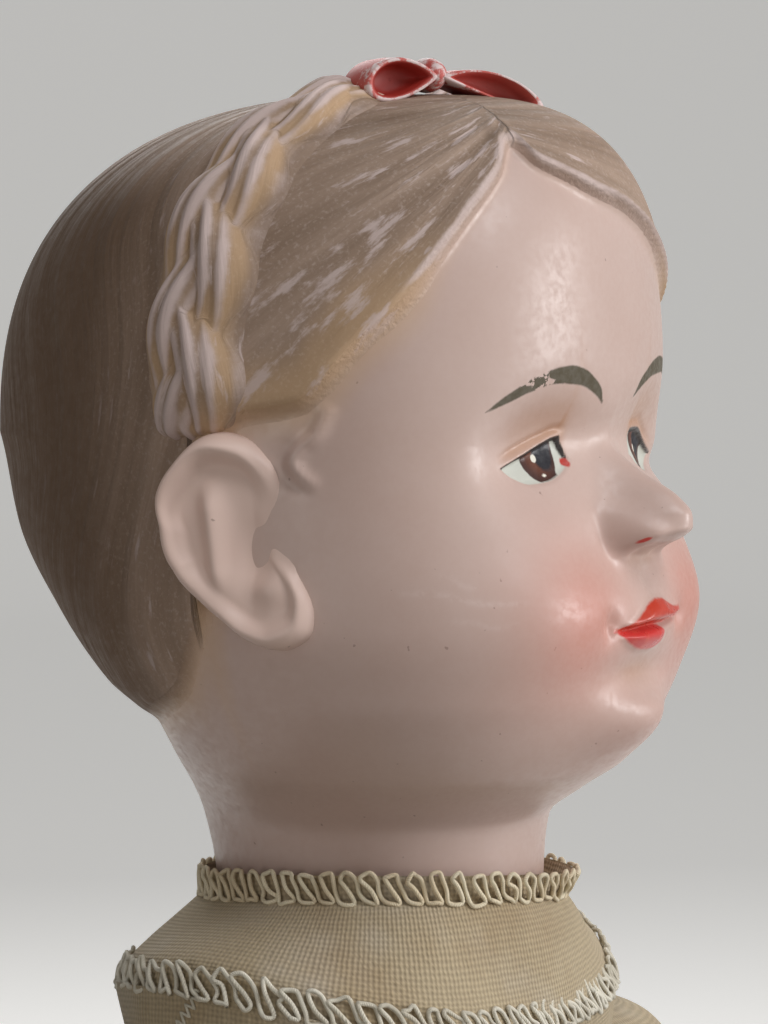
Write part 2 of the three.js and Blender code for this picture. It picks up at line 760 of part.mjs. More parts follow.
function bodice() {
  const band = solidOf(clothBand(bodiceLevels, { rings: 7, sides: 20 }));
  return band.subtract(crossBar(shoulderBossRadius + clothEase + clearance, -far, far, shoulderHeight));
}

const yokeLevels = [
  [yokeLow, yokeHalfWidth, yokeFront, yokeBack],
  [yokeLow + 0.6 * (yokeHigh - yokeLow), 22.4, 20.2, 21.2],
  [yokeHigh, yokeNeckRadius, yokeNeckRadius, yokeNeckRadius],
];

// The band of cloth that runs from the front hem under the crotch to the back hem.
function seatBand() {
  const halfWidth = hipFace - 0.5;
  const side = (reach, turn) =>
    torsoLevels.slice(1, 5).map(([z, , front, back]) => {
      const size = turn < 0 ? front : back;
      return new THREE.Vector2(turn * (size + reach), Math.min(z, hipRoof + hemRise - clearance));
    });
  const around = (reach) => {
    const [low, , front, back] = torsoLevels[0];
    const under = [-front - reach / 2, 0, back + reach / 2].map((y) => new THREE.Vector2(y, low - reach));
    const points = [...side(reach, -1).reverse(), ...under, ...side(reach, 1)];
    return new THREE.SplineCurve(points).getPoints(24);
  };
  const outer = around(clothEase + cloth);
  const inner = around(clothEase);
  const rings = outer.map((o, i) => [
    new THREE.Vector3(-halfWidth, o.x, o.y),
    new THREE.Vector3(halfWidth, o.x, o.y),
    new THREE.Vector3(halfWidth, inner[i].x, inner[i].y),
    new THREE.Vector3(-halfWidth, inner[i].x, inner[i].y),
  ]);
  return skinRings(rings);
}

const sleeveLevels = [
  [14, 8, 0, 2, 2],
  [11, 8.5, 0, 9.6, 10.6],
  [4, 9.4, 0, 13.4, 14.4],
  [-7, 10.9, 0, 14.8, 15.6],
  [-17, 12, 0.2, 14.2, 15],
  [-sleeveDrop + 5, 12.6, 0, 12, 12.8],
  [-sleeveDrop, 13, -0.4, 10.6, 11.2],
].map(([z, x, ...rest]) => [shoulderHeight + z, armFace + x, ...rest]);

const bloomerLevels = [
  [18.6, 13.3, 0.5, 2, 2],
  [15, 13.5, 0.5, 12, 13],
  [8, 14, 0.5, 17, 18.2],
  [-4, 14.2, 0.4, 18.6, 19.4],
  [-20, 14, 0.3, 18.4, 19.2],
  [-35, 13.2, 0.2, 16.8, 17.4],
  [-kneeHemDrop + 5, 12.6, 0.1, 14.2, 14.8],
  [-kneeHemDrop, 12.2, 0, 13.4, 14],
].map(([z, x, ...rest]) => [hipHeight + z, legFace + x, ...rest]);

const puff = (levels, face, inside) =>
  limb(levels, { rings: 7, sides: 24, folds: gatherDepth })
    .intersect(outwardOf(face))
    .subtract(inside);

function hemEdging(levels) {
  const [z, x, y, halfWidth, halfDepth] = levels.at(-1);
  const grown = halfDepth - clearance;
  const size = { halfWidth: halfWidth - clearance, front: grown, back: grown };
  return edging({ z: z - clearance - trimHeight, x, y, ...size }, 20);
}

// Shoes and socks

const sockOutside = clearance + sockThickness;
const shoeInside = sockOutside + clearance;
const shoeOutside = shoeInside + shoeThickness;
const legAndFoot = (offset) => leg(offset).add(foot(offset));
const between = (low, high) => block([-far, -far, low], [far, far, high]);

const sock = () => legAndFoot(sockOutside).intersect(between(-far, sockTop)).subtract(legAndFoot(clearance));

function shoeUpper() {
  const opening = block([-far, instepStart, shoeOpening], [far, far, far]);
  return foot(shoeOutside)
    .intersect(between(soleThickness + clearance, far))
    .subtract(opening)
    .subtract(legAndFoot(shoeInside));
}

function shoeStrap() {
  const low = shoeOpening + clearance;
  const band = block([-far, strapFront, low], [far, strapFront + strapWidth, far]);
  return foot(shoeOutside).intersect(band).subtract(legAndFoot(shoeInside));
}

function shoeSole() {
  const run = runThrough(footLevels);
  const shares = [0.08, 0.2, 0.35, 0.5, 0.65, 0.8, 0.92];
  const edge = (side) =>
    shares.map((share) => {
      const [y, , halfWidth] = run(share);
      return new THREE.Vector2(footMiddle + side * (halfWidth + soleMargin), y);
    });
  const heel = new THREE.Vector2(footMiddle, footLevels[0][0] + soleMargin);
  const toe = new THREE.Vector2(footMiddle, footLevels.at(-1)[0] - soleMargin);
  const outline = new THREE.SplineCurve([heel, ...edge(1), toe, ...edge(-1).reverse(), heel]);
  const shape = new THREE.Shape(outline.getPoints(32).slice(0, -1));
  return new THREE.ExtrudeGeometry(shape, { depth: soleThickness, bevelEnabled: false });
}

function strapButton() {
  const run = runThrough(footLevels);
  const [, z, halfWidth] = run(0.56);
  const out = footMiddle + halfWidth + shoeOutside + clearance;
  const disc = new THREE.CylinderGeometry(strapButtonRadius, strapButtonRadius, 1.2, 12);
  return disc.rotateZ(Math.PI / 2).translate(out + 0.6, strapFront + strapWidth / 2, z + 1);
}

// Assembly

const doll = new THREE.Group();
doll.name = "composition_doll";

function add(name, shape, material) {
  const geometry = shape.isBufferGeometry ? shape : geometryOf(shape);
  const mesh = new THREE.Mesh(geometry, material);
  mesh.name = name;
  doll.add(mesh);
  return mesh;
}

// A piece that the doll has on each side: the left one, and its mirror image on the right.
function addPair(name, shape, material) {
  const left = add(`left_${name}`, shape, material);
  const right = left.clone();
  right.name = `right_${name}`;
  right.scale.x = -1;
  doll.add(right);
}

const head = headSolid();
const onNeck = (solid) => geometryOf(solid).translate(0, 0, neckHeight);
add("head_front", onNeck(frontOf(head, headSeam)), skin);
add("head_back", onNeck(backOf(head, headSeam)), skin);
const barEnd = seatRadius - headWall + neckBarPocket;
add("neck_bar", crossBar(neckBarRadius, -barEnd, barEnd, neckHeight, 12), dowelWood);
add("neck_hook", neckHook(), steelWire);

const torso = torsoSolid();
add("torso_front", frontOf(torso, 0), skin);
add("torso_back", backOf(torso, 0), skin);
addPair("arm", armSolid(), skin);
addPair("leg", legSolid(), skin);
addPair("arm_hook", limbHook(armEyeX, armFace + shankLength - clearance, shoulderHeight), steelWire);
addPair("leg_hook", limbHook(legEyeX, legFace + shankLength - clearance, hipHeight), steelWire);
add("arm_elastic", armElastic(), elasticWeb);
add("leg_elastic", legElastic(), elasticWeb);

add("bodice", bodice(), romperCotton);
add("yoke", clothBand(yokeLevels, { rings: 3, sides: 28, power: 2.1 }), romperCotton);
add("seat_band", seatBand(), romperCotton);
addPair("sleeve", puff(sleeveLevels, armFace, arm(clothEase)), romperCotton);
addPair("bloomer", puff(bloomerLevels, legFace + clothEase, leg(clothEase)), romperCotton);
const neckSize = { halfWidth: neckTrimRadius, front: neckTrimRadius, back: neckTrimRadius };
add("neck_edging", edging({ z: yokeHigh + clearance, ...neckSize }, 28), trimThread);
const yokeInside = yokeHalfWidth - cloth;
const yokeSize = { halfWidth: yokeInside, front: yokeFront - cloth, back: yokeBack - cloth, power: 2.1 };
add("yoke_edging", edging({ z: yokeEdgingLow, ...yokeSize }, 28), trimThread);
addPair("sleeve_edging", hemEdging(sleeveLevels), trimThread);
addPair("bloomer_edging", hemEdging(bloomerLevels), trimThread);

// How far back the bodice reaches behind a button at a height.
function bodiceBackAt(height) {
  const run = runThrough(bodiceLevels);
  const near = Array.from({ length: 101 }, (_, i) => run(i / 100)).filter(
    ([z]) => Math.abs(z - height) < 2 * buttonRadius,
  );
  return Math.max(...near.map(([, , , back]) => back));
}

for (const [place, drop] of Object.entries(buttonDrops)) {
  const disc = new THREE.CylinderGeometry(buttonRadius, buttonRadius, buttonThickness, 16);
  const back = bodiceBackAt(neckHeight - drop) + clearance + buttonThickness / 2;
  add(`back_button_${place}`, disc.translate(0, back, neckHeight - drop), shellButton);
}

addPair("sock", sock(), sockKnit);
addPair("shoe_upper", shoeUpper(), shoeLeather);
addPair("shoe_strap", shoeStrap(), shoeLeather);
addPair("shoe_sole", shoeSole(), soleLeather);
addPair("strap_button", strapButton(), shellButton);

const box = new THREE.Box3().setFromObject(doll);
doll.position.y = -(box.min.y + box.max.y) / 2;

export default doll;
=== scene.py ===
import json

import bpy
import numpy as np
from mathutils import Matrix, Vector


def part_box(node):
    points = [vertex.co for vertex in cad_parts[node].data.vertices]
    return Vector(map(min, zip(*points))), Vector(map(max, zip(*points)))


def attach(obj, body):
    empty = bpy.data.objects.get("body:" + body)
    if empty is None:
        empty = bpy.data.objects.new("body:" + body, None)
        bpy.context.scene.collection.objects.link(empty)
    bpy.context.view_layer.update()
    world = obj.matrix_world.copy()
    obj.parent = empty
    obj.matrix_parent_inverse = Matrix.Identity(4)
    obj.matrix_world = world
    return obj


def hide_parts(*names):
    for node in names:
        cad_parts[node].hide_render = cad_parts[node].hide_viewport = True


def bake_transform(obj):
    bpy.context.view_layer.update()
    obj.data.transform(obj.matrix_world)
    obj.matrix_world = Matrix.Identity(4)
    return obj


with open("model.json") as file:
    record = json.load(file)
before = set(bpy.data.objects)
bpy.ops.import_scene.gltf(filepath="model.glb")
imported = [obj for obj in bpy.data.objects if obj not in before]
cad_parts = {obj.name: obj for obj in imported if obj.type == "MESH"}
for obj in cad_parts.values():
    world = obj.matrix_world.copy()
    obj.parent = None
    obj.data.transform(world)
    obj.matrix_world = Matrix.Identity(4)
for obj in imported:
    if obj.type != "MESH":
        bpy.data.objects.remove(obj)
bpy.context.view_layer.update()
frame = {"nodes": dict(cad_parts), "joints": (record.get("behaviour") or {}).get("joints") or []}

mm = 0.001
jointAt = {joint["name"]: np.array(joint["pos_m"]) / mm for joint in frame["joints"]}
neckAt = jointAt["head_nod"]
shoulderZ = jointAt["left_shoulder"][2]
middleY = neckAt[1]
bodyAxis = np.array([0, middleY, 0])
upward = np.array([0, 0, 1.0])
sides = ((1, "left"), (-1, "right"))


def ease(low, high, value):  # 0 at low, 1 at high, smooth between and flat outside
    t = np.clip((value - low) / (high - low), 0, 1)
    return t * t * (3 - 2 * t)


def bell(value, width):  # exp(-(value/width)^2)
    return np.exp(-((value / width) ** 2))


def hump(x, z, at, size):  # exp(-(dx/sx)^2 - (dz/sz)^2), a round swelling of height 1
    return np.exp(-(((x - at[0]) / size[0]) ** 2) - ((z - at[1]) / size[1]) ** 2)


def through(knots):  # monotone cubic through (place, value) pairs, as a function of place
    xs, ys = np.array(knots, float).T
    step = np.diff(xs)
    rise = np.diff(ys) / step
    slope = np.concatenate(([rise[0]], np.zeros(len(xs) - 2), [rise[-1]]))
    same = rise[:-1] * rise[1:] > 0
    near, far = 2 * step[1:] + step[:-1], step[1:] + 2 * step[:-1]
    safe = np.where(same, rise[:-1], 1), np.where(same, rise[1:], 1)
    slope[1:-1] = np.where(same, (near + far) / (near / safe[0] + far / safe[1]), 0)

    def at(x):
        x = np.clip(x, xs[0], xs[-1])
        k = np.clip(np.searchsorted(xs, x, side="right") - 1, 0, len(step) - 1)
        t = (x - xs[k]) / step[k]
        start = (1 + 2 * t) * (1 - t) ** 2 * ys[k] + t * (1 - t) ** 2 * step[k] * slope[k]
        return start + t * t * (3 - 2 * t) * ys[k + 1] + t * t * (t - 1) * step[k] * slope[k + 1]

    return at


def columnRuns(levels, columns):  # a smooth run for each of these columns of a table, over its first column
    rows = sorted(levels)
    return [through([(row[0], row[k]) for row in rows]) for k in columns]


def alongRows(rows, share):  # every column of a table, at a share of the way from its first row to its last
    place = share * (len(rows) - 1)
    return [through(list(enumerate(column)))(place) for column in zip(*rows)]


def ovalRadius(turn, width, front, back, power):
    # superellipse (|sin|^p / width^p + |cos|^p / depth^p)^(-1/p); turn 0 faces forwards
    depth = np.where(np.cos(turn) > 0, front, back)
    return ((np.abs(np.sin(turn)) / width) ** power + (np.abs(np.cos(turn)) / depth) ** power) ** (-1 / power)


def ovalWidth(y, width, front, back, power, least):  # half width of the same superellipse at a depth
    depth = np.where(y < 0, front, back)
    return width * np.clip(1 - (np.abs(y) / depth) ** power, least, 1) ** (1 / power)


def unit(v):  # a vector over its length
    return v / np.maximum(np.linalg.norm(v, axis=-1, keepdims=True), 1e-12)


def outward(points, centre):  # level directions away from an upright line
    return unit((points - centre) * np.array([1, 1, 0]))


def grid(*parts):  # coordinates of any matching shapes as one array of points
    return np.stack(np.broadcast_arrays(*parts), -1)


def around(count, start=0.0):  # angles of a full turn, its end left out
    return np.linspace(start, start + 2 * np.pi, count, endpoint=False)


def lengthsAlong(path):  # mm from the start of a path to each of its points
    return np.concatenate([[0], np.cumsum(np.linalg.norm(np.diff(path, axis=0), axis=1))])


def smoothRing(ring, times):  # each value becomes (before + 2 own + after) / 4, round a closed ring
    for _ in range(times):
        ring = (np.roll(ring, 1, 0) + 2 * ring + np.roll(ring, -1, 0)) / 4
    return ring


def flipped(points, side):  # the doll's left is 1, its right -1
    return points * np.array([side, 1, 1])


def gridNormals(points):  # cross product of the two directions of a grid that closes round its columns
    across = np.roll(points, -1, 1) - np.roll(points, 1, 1)
    return unit(np.cross(across, np.gradient(points, axis=0)))


def putMesh(name, points, faces, material, body, uv, values, normals):
    # points in mm in the row frame; uv has one pair for each face corner
    mesh = bpy.data.meshes.new(name)
    mesh.from_pydata((points * mm).tolist(), [], faces)
    mesh.polygons.foreach_set("use_smooth", np.ones(len(mesh.polygons), bool))
    for key, value in (values or {}).items():
        layer = mesh.attributes.new(key, "FLOAT", "POINT")
        layer.data.foreach_set("value", np.ravel(value).astype(np.float32))
    mesh.uv_layers.new(name="UVMap").data.foreach_set("uv", np.ravel(uv).astype(np.float32))
    mesh.validate()
    if normals is not None:
        mesh.normals_split_custom_set_from_vertices(normals.reshape(-1, 3).tolist())
    mesh.update()
    piece = bpy.data.objects.new(name, mesh)
    bpy.context.scene.collection.objects.link(piece)
    mesh.materials.append(material)
    if body:
        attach(piece, body)
    return piece


def gridFaces(rows, cols, wrapU, wrapV):  # quads of a grid, and the column and row of each corner
    i, j = np.meshgrid(np.arange(rows - (not wrapV)), np.arange(cols - (not wrapU)), indexing="ij")
    i2, j2 = (i + 1) % rows, (j + 1) % cols
    quads = np.stack([i * cols + j, i * cols + j2, i2 * cols + j2, i2 * cols + j], -1).reshape(-1, 4)
    corners = [np.stack([j + dj, i + di], -1) for dj, di in ((0, 0), (1, 0), (1, 1), (0, 1))]
    return quads, np.stack(corners, 2).reshape(-1, 4, 2)


def sheetPiece(name, points, material, body, wrapU=True, wrapV=False, uvSize=(1, 1), uvAt=None,
               values=None, caps=(), normals=None, turned=False, keep=None):
    # a grid of points as one surface; uvSize is the size in mm that the UVs span; keep leaves an opening
    rows, cols = points.shape[:2]
    quads, places = gridFaces(rows, cols, wrapU, wrapV)
    if keep is not None:
        kept = keep.reshape(-1)[quads].any(1)
        quads, places = quads[kept], places[kept]
    if uvAt is not None:
        uv = uvAt.reshape(-1, 2)[quads]
    else:
        span = np.array([cols - (not wrapU), rows - (not wrapV)], float)
        uv = places / span * np.array(uvSize, float)
    if turned:
        quads, uv = quads[:, ::-1], uv[:, ::-1]
    faces, uv = quads.tolist(), uv.reshape(-1, 2).tolist()
    for row in caps:
        ring = np.arange(cols) + (row % rows) * cols
        ring = ring if (row == 0) == turned else ring[::-1]
        faces.append(ring.tolist())
        uv += [[0.0, 0.0]] * cols
    return putMesh(name, points.reshape(-1, 3), faces, material, body, uv, values, normals)


def fit(piece, slot, *nodes):  # hides the CAD nodes that a piece stands in for; slot is not used
    for node in nodes:
        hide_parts(node)
    return piece


def tubePoints(path, radius, columns, guide, closed=False):
    # circles of a radius carried along a path; guide points away from the surface it lies on
    along = unit(np.roll(path, -1, 0) - np.roll(path, 1, 0)) if closed else unit(np.gradient(path, axis=0))
    side = unit(np.cross(along, guide))
    lift = np.cross(side, along)
    turn = around(columns)
    size = np.asarray(radius, float).reshape(-1, 1)
    across, up = size * np.cos(turn), size * np.sin(turn)
    return path[:, None] + across[..., None] * side[:, None] + up[..., None] * lift[:, None]


# Materials

class Wires:  # short names for adding nodes to a tree and joining them
    def __init__(self, tree):
        self.tree = tree

    def join(self, node, **inputs):  # a link or a value for each input, named with _ for a space, or n0, n1
        for key, value in inputs.items():
            isNumber = key[0] == "n" and key[1:].isdigit()
            socket = node.inputs[int(key[1:]) if isNumber else key.replace("_", " ")]
            if hasattr(value, "is_linked"):
                self.tree.links.new(value, socket)
            else:
                socket.default_value = value
        return node

    def add(self, kind, settings=None, **inputs):
        node = self.tree.nodes.new(kind)
        for key, value in (settings or {}).items():
            setattr(node, key, value)
        return self.join(node, **inputs)

    def math(self, operation, a, b=0.0, c=0.0, clamp=False):
        settings = {"operation": operation, "use_clamp": clamp}
        return self.add("ShaderNodeMath", settings, n0=a, n1=b, n2=c).outputs[0]

    def span(self, value, low, high, outLow=0.0, outHigh=1.0):  # a smooth step from outLow to outHigh
        ends = {"From_Min": low, "From_Max": high, "To_Min": outLow, "To_Max": outHigh}
        node = self.add("ShaderNodeMapRange", {"interpolation_type": "SMOOTHSTEP"}, Value=value, **ends)
        return node.outputs[0]

    def mix(self, factor, a, b, blend="MIX"):
        settings = {"data_type": "RGBA", "blend_type": blend}
        return self.add("ShaderNodeMix", settings, n0=factor, n6=a, n7=b).outputs[2]

    def attribute(self, name, share=None):  # a value of the mesh, or a share of it
        value = self.add("ShaderNodeAttribute", {"attribute_name": name}).outputs["Fac"]
        return value if share is None else self.math("MULTIPLY", value, share)

    def noise(self, vector, scale, detail=3.0, roughness=0.6):
        inputs = {"Vector": vector, "Scale": scale, "Detail": detail, "Roughness": roughness}
        return self.add("ShaderNodeTexNoise", **inputs).outputs[0]

    def waves(self, direction, **inputs):
        settings = {"wave_type": "BANDS", "bands_direction": direction}
        return self.add("ShaderNodeTexWave", settings, **inputs).outputs["Fac"]

    def objectAt(self):
        return self.add("ShaderNodeTexCoord").outputs["Object"]

    def uvAt(self):
        return self.add("ShaderNodeTexCoord").outputs["UV"]

    def stretch(self, vector, scale, rotation=(0, 0, 0)):
        return self.add("ShaderNodeMapping", Vector=vector, Scale=scale, Rotation=rotation).outputs[0]

    def bump(self, height, distance, strength=0.8):
        return self.add("ShaderNodeBump", Height=height, Distance=distance, Strength=strength).outputs[0]

    def group(self, tree, **inputs):
        return list(self.add("ShaderNodeGroup", {"node_tree": tree}, **inputs).outputs)


def newMaterial(name):  # a material, its wires and its shader
    material = bpy.data.materials.new(name)
    material.use_nodes = True
    return material, Wires(material.node_tree), material.node_tree.nodes["Principled BSDF"]


def newGroup(name, inputs, outputs):  # inputs with their first values, a colour or a number
    tree = bpy.data.node_groups.new(name, "ShaderNodeTree")
    for key, value in inputs.items():
        kind = "NodeSocketFloat" if isinstance(value, float) else "NodeSocketColor"
        tree.interface.new_socket(name=key, in_out="INPUT", socket_type=kind).default_value = value
    for key in outputs:
        kind = "NodeSocketColor" if key == "Color" else "NodeSocketFloat"
        tree.interface.new_socket(name=key, in_out="OUTPUT", socket_type=kind)
    return tree, Wires(tree), tree.nodes.new("NodeGroupInput").outputs, tree.nodes.new("NodeGroupOutput")


def rgb(r, g, b):  # an sRGB colour of 0 to 255 as linear values
    v = np.array([r, g, b]) / 255
    v = np.where(v <= 0.04045, v / 12.92, ((v + 0.055) / 1.055) ** 2.4)
    return (*v.tolist(), 1.0)


skinTone = {
    "skin": rgb(199, 175, 165), "shade": rgb(184, 154, 141), "blush": rgb(198, 112, 92),
    "bare": rgb(212, 194, 190), "speck": rgb(120, 92, 80), "lid": rgb(176, 128, 92),
    # ear and earShade: the skin painted paler for the ears, painted light for the light they catch
    "scuff": rgb(226, 212, 206), "ear": rgb(222, 196, 184), "earShade": rgb(206, 174, 160),
}
faceTone = {
    "eyeWhite": rgb(200, 202, 192), "irisRim": rgb(58, 26, 18), "iris": rgb(104, 58, 38),
    "pupil": rgb(16, 16, 26), "glint": rgb(236, 232, 218), "lash": rgb(34, 24, 20), "dots": rgb(186, 52, 40),
    "brow": rgb(78, 70, 52), "upperLip": rgb(190, 58, 36), "lowerLip": rgb(202, 56, 52),
    "lipWear": rgb(216, 96, 76),
}
hairTone = {
    "paint": rgb(172, 149, 132), "dark": rgb(138, 116, 98), "pale": rgb(206, 188, 178),
    # back: darker brown, the painted shade over the back of the head
    "spray": rgb(204, 170, 132), "back": rgb(82, 60, 40),
}


def enamelGroup():  # skin enamel: faint mottling, small specks, dull patches
    inputs = {"Skin": (0.7, 0.5, 0.4, 1), "Shade": (0.5, 0.3, 0.25, 1), "Mottle": 0.3}
    tree, w, start, end = newGroup("enamelSkin", inputs, ("Color", "Roughness", "Height"))
    at = w.objectAt()
    fine = w.noise(at, 900.0, 4.0)
    amount = w.math("MULTIPLY", w.span(w.noise(at, 60.0), 0.35, 0.75), start["Mottle"])
    colour = w.mix(amount, start["Skin"], start["Shade"])
    specks = w.span(w.noise(at, 1400.0, 1.0, 0.4), 0.785, 0.82, 0.0, 0.5)
    colour = w.mix(specks, colour, skinTone["speck"])
    w.join(end, Color=colour, Roughness=w.span(fine, 0.3, 0.7, 0.42, 0.56), Height=fine)
    return tree


def paintGroup():  # paint laid inside an edge distance, with a slightly ragged border
    inputs = {"Under": (1, 1, 1, 1), "Paint": (0, 0, 0, 1), "Inside": 0.0, "Soft": 0.06, "Ragged": 0.05}
    tree, w, start, end = newGroup("brushedPaint", inputs, ("Color", "Mask"))
    rough = w.math("SUBTRACT", w.noise(w.objectAt(), 2200.0), 0.5)
    inside = w.math("MULTIPLY_ADD", rough, start["Ragged"], start["Inside"])
    mask = w.math("ADD", w.math("DIVIDE", inside, start["Soft"]), 0.5, clamp=True)
    w.join(end, Color=w.mix(mask, start["Under"], start["Paint"]), Mask=mask)
    return tree


enamelSkin = enamelGroup()
brushedPaint = paintGroup()


def paint(w, under, colour, inside, soft, ragged=0.05):  # the painted colour and the paint's mask
    return w.group(brushedPaint, Under=under, Paint=colour, Inside=inside, Soft=soft, Ragged=ragged)


def enamel(w, skin, shade):  # colour, roughness and height
    return w.group(enamelSkin, Skin=skin, Shade=shade, Mottle=0.35)


# Head

head = {
    "levels": [  # height over the neck pivot, half width, front, back
        (-14, 9.6, 9.6, 9.6), (-9, 13.9, 13.9, 13.9), (-4, 16.0, 16.0, 16.0), (3, 16.3, 16.2, 17.3),
        (7, 17, 16.6, 18.2), (10, 19, 20.2, 18.6), (13, 22, 24.2, 18.9), (17.5, 25.4, 26.8, 19.7),
        (21, 27.4, 27.8, 24.2), (28, 29.4, 28.6, 30.2), (36, 29.7, 27.3, 36), (45, 30, 26.6, 39.2)],
    "brow": 45, "rise": 33.4, "powers": (2.4, 3.9, 2.4), "cheekPower": 2.4, "browPower": 2.2,
    "columns": 420, "crowding": 0.5, "bottom": -12, "chin": 12, "dome": 53,
    "seams": (97, 95.5),  # degrees from the front where the front half ends and the back half starts
}
hair = {
    "step": 0.8,
    "frontLine": [  # turn in degrees towards the doll's left, height of the hair's edge
        (-71, 50.2), (-64, 54.3), (-57, 57.5), (-49, 61.8), (-42, 65.7), (-36.5, 68.3), (-33, 69.9),
        (-27.5, 72.6), (-23.5, 70.9), (-16.5, 69.6), (-7, 68), (1, 67.1), (12, 65.3), (21, 63), (40, 58.5),
        (57, 54), (64, 51.8), (71, 50)],
    "sideLine": [  # the same on both sides
        (75, 48.6), (80, 48), (85, 47.6), (89, 46), (91.5, 38), (94, 30), (97, 26), (103, 21.4), (116, 18.6),
        (125, 17.6), (150, 16.8), (180, 16.5)],
    "nearFan": (-4.0, 92.0), "farFan": (-27.6, 86.0), "parting": -13.7,
    "curl": [  # mm round from the front, height
        (36.0, 48.2), (37.0, 46.2), (38.5, 45.0), (39.1, 43.8), (38.6, 42.6), (37.5, 41.7)],
}
face = {
    "eye": (6.6, 15.2), "farEye": 1.28, "iris": (-10.1, 12.2), "brow": (2.9, 18.3),
    "mouth": 6.6, "mouthTilt": 0.118, "farLip": (2.5, 1.25, 26.1),
    "swellings": [  # height, middle as mm aside and height, size; each is on both sides
        (2.4, (3.8, 36.1), (1.7, 1.8)), (-0.6, (5.6, 36.2), (0.9, 2.0)),  # nostrils
        (-0.35, (2.3, 34.4), (1.2, 0.9)), (-1.7, (0, 45.0), (4.6, 3.0)),  # under and over the nose
        (-3.7, (10.2, 44.4), (6.6, 4.4)), (-1.3, (14.2, 42.6), (4.2, 3.6)),  # eye sockets
        (1.5, (11.2, 43.4), (4.8, 3.4)), (1.7, (16, 28.9), (8.5, 7.5)),  # eyeballs and cheeks
        (1.5, (0, 28.4), (8.5, 6.0)), (-0.28, (0, 31.8), (1.1, 1.5)),  # mouth and the groove over it
        (-0.7, (7.4, 27.6), (1.2, 1.5)),  # corners of the mouth
        (-1.3, (0, 22.4), (6.5, 2.2)), (3.2, (0, 17.8), (6.6, 4.2))],  # under the lip, and the chin
    "farHollow": (-1.1, (19.5, 41.4), (5.0, 1.8)),
    "eyePaint": [  # size, then middle and half sizes from the iris: iris, pupil, glint, fleck
        (1.0, 0, 43.9, 2.15, 2.8), (1.0, 0.7, 44.1, 1.25, 1.8), (0.4, -0.4, 43.5, 0.8, 1),
        (0.15, 0.1, 41.9, 1.6, 1)],
    "scuffs": [  # turn and height at each end, strength
        (-58, 31.6, -36, 30.4, 0.28), (-52, 33.2, -44, 32.0, 0.2), (-50, 28.8, -38, 28.5, 0.18)],
}

levelRuns = columnRuns(head["levels"], (1, 2, 3))
hairEdge = through([(-turn, z) for turn, z in hair["sideLine"][::-1]] + hair["frontLine"] + hair["sideLine"])

# curves of the face: mm from its middle, then a height or size, except the nose, which goes by height
noseHeight = through([(32.6, 0), (33.6, 0.3), (34.5, 1.7), (35.5, 4.6), (36.7, 6.45), (38, 6.7), (39.6, 5.65),
                      (41.9, 2.6), (44.4, 0.7), (47.4, 0.2), (49.4, 0)])
noseWidth = through([(32.4, 3.2), (35.4, 3.5), (38, 3.6), (40.4, 2.8), (43.4, 2.4), (48.4, 3.2)])
upperLid = through([(6.6, 43.2), (7.1, 44.3), (7.7, 45.3), (9.8, 44.7), (12.4, 43.7), (15.2, 42.7)])
lowerLid = through([(6.6, 43.2), (7.3, 42.5), (8.4, 41.9), (10.4, 41.3), (12.4, 41.15), (13.9, 41.7),
                    (15.2, 42.7)])
browTop = through([(2.9, 48.8), (3.6, 50.0), (4.9, 51.0), (6.6, 51.9), (8.7, 52.3), (12.2, 51.75),
                   (14.9, 50.5), (16.6, 49.5), (18.3, 48.2)])
browBottom = through([(2.9, 48.5), (3.8, 49.1), (5.2, 49.8), (7.1, 50.4), (10.4, 50.6), (13.5, 49.9),
                      (16, 48.95), (18.3, 48.1)])
lipTop = through([(0, 29.75), (1.5, 29.5), (2.6, 28.95), (4.7, 28.1), (6.6, 27.85)])
lipParting = through([(-7.5, 27.05), (-4.7, 26.98), (-2.6, 27.1), (0, 27.22), (2.6, 27.25), (4.7, 27.5),
                      (7.5, 27.9)])
lipBottom = through([(0, 24.85), (2, 25), (3.9, 25.55), (5.2, 26.2), (6.6, 27.4)])


def overBrow(z):  # share of the way from the brow to the crown
    return np.clip((z - head["brow"]) / head["rise"], 0, 1)


def headSection(z):
    # below the brow: runs through the levels; above: half sizes fall as (1 - rise^p)^(1/p)
    rise = np.minimum(overBrow(z), 1 - 1e-9)
    sizes = [run(z) * (1 - rise ** power) ** (1 / power) for run, power in zip(levelRuns, head["powers"])]
    cheek, brow = head["cheekPower"] - 2, head["browPower"] - head["cheekPower"]
    return (*sizes, 2 + cheek * ease(4, 22, z) + brow * ease(30, 44, z))


def awayFrom(curve, side, z):  # mm above a curve, measured square to it
    slope = (curve(side + 0.05) - curve(side - 0.05)) / 0.1
    return (z - curve(side)) / np.sqrt(1 + slope ** 2)


def bandInside(side, z, low, high, start, end):  # mm inside a shape between two curves, negative outside
    inside = np.minimum(-awayFrom(high, side, z), awayFrom(low, side, z))
    ends = np.minimum(side - start, end - side)
    return np.minimum(inside, ends + 0.12)


def lipInside(x, z):  # the painted lips: the upper one is tilted, the lower one short on the far side
    side = np.abs(x)
    overParting = z - lipParting(x)
    upper = np.minimum(-awayFrom(lipTop, side, z - face["mouthTilt"] * x), overParting + 0.1)
    near = np.minimum(awayFrom(lipBottom, side, z), 0.25 - overParting)
    wide, tall, middle = face["farLip"]
    far = tall * (1 - np.hypot(x / wide, (z - middle) / tall))
    inside = np.maximum(upper, np.where(x < 0, near, far))
    return np.minimum(inside, face["mouth"] + 0.12 - side)


def eyeSide(x):  # mm from the nose's middle, as the near eye counts them; the far eye was painted wider
    inner = face["eye"][0]
    return np.where(x > 0, inner + (x - inner) / face["farEye"], -x)


def underLid(x, z):  # the far eye's upper lid is rounder, so heights there are lowered to the near lid's
    return z - np.where(x > 0, 0.95 * bell(eyeSide(x) - 11.2, 2.4), 0) * ease(42.0, 44.6, z)


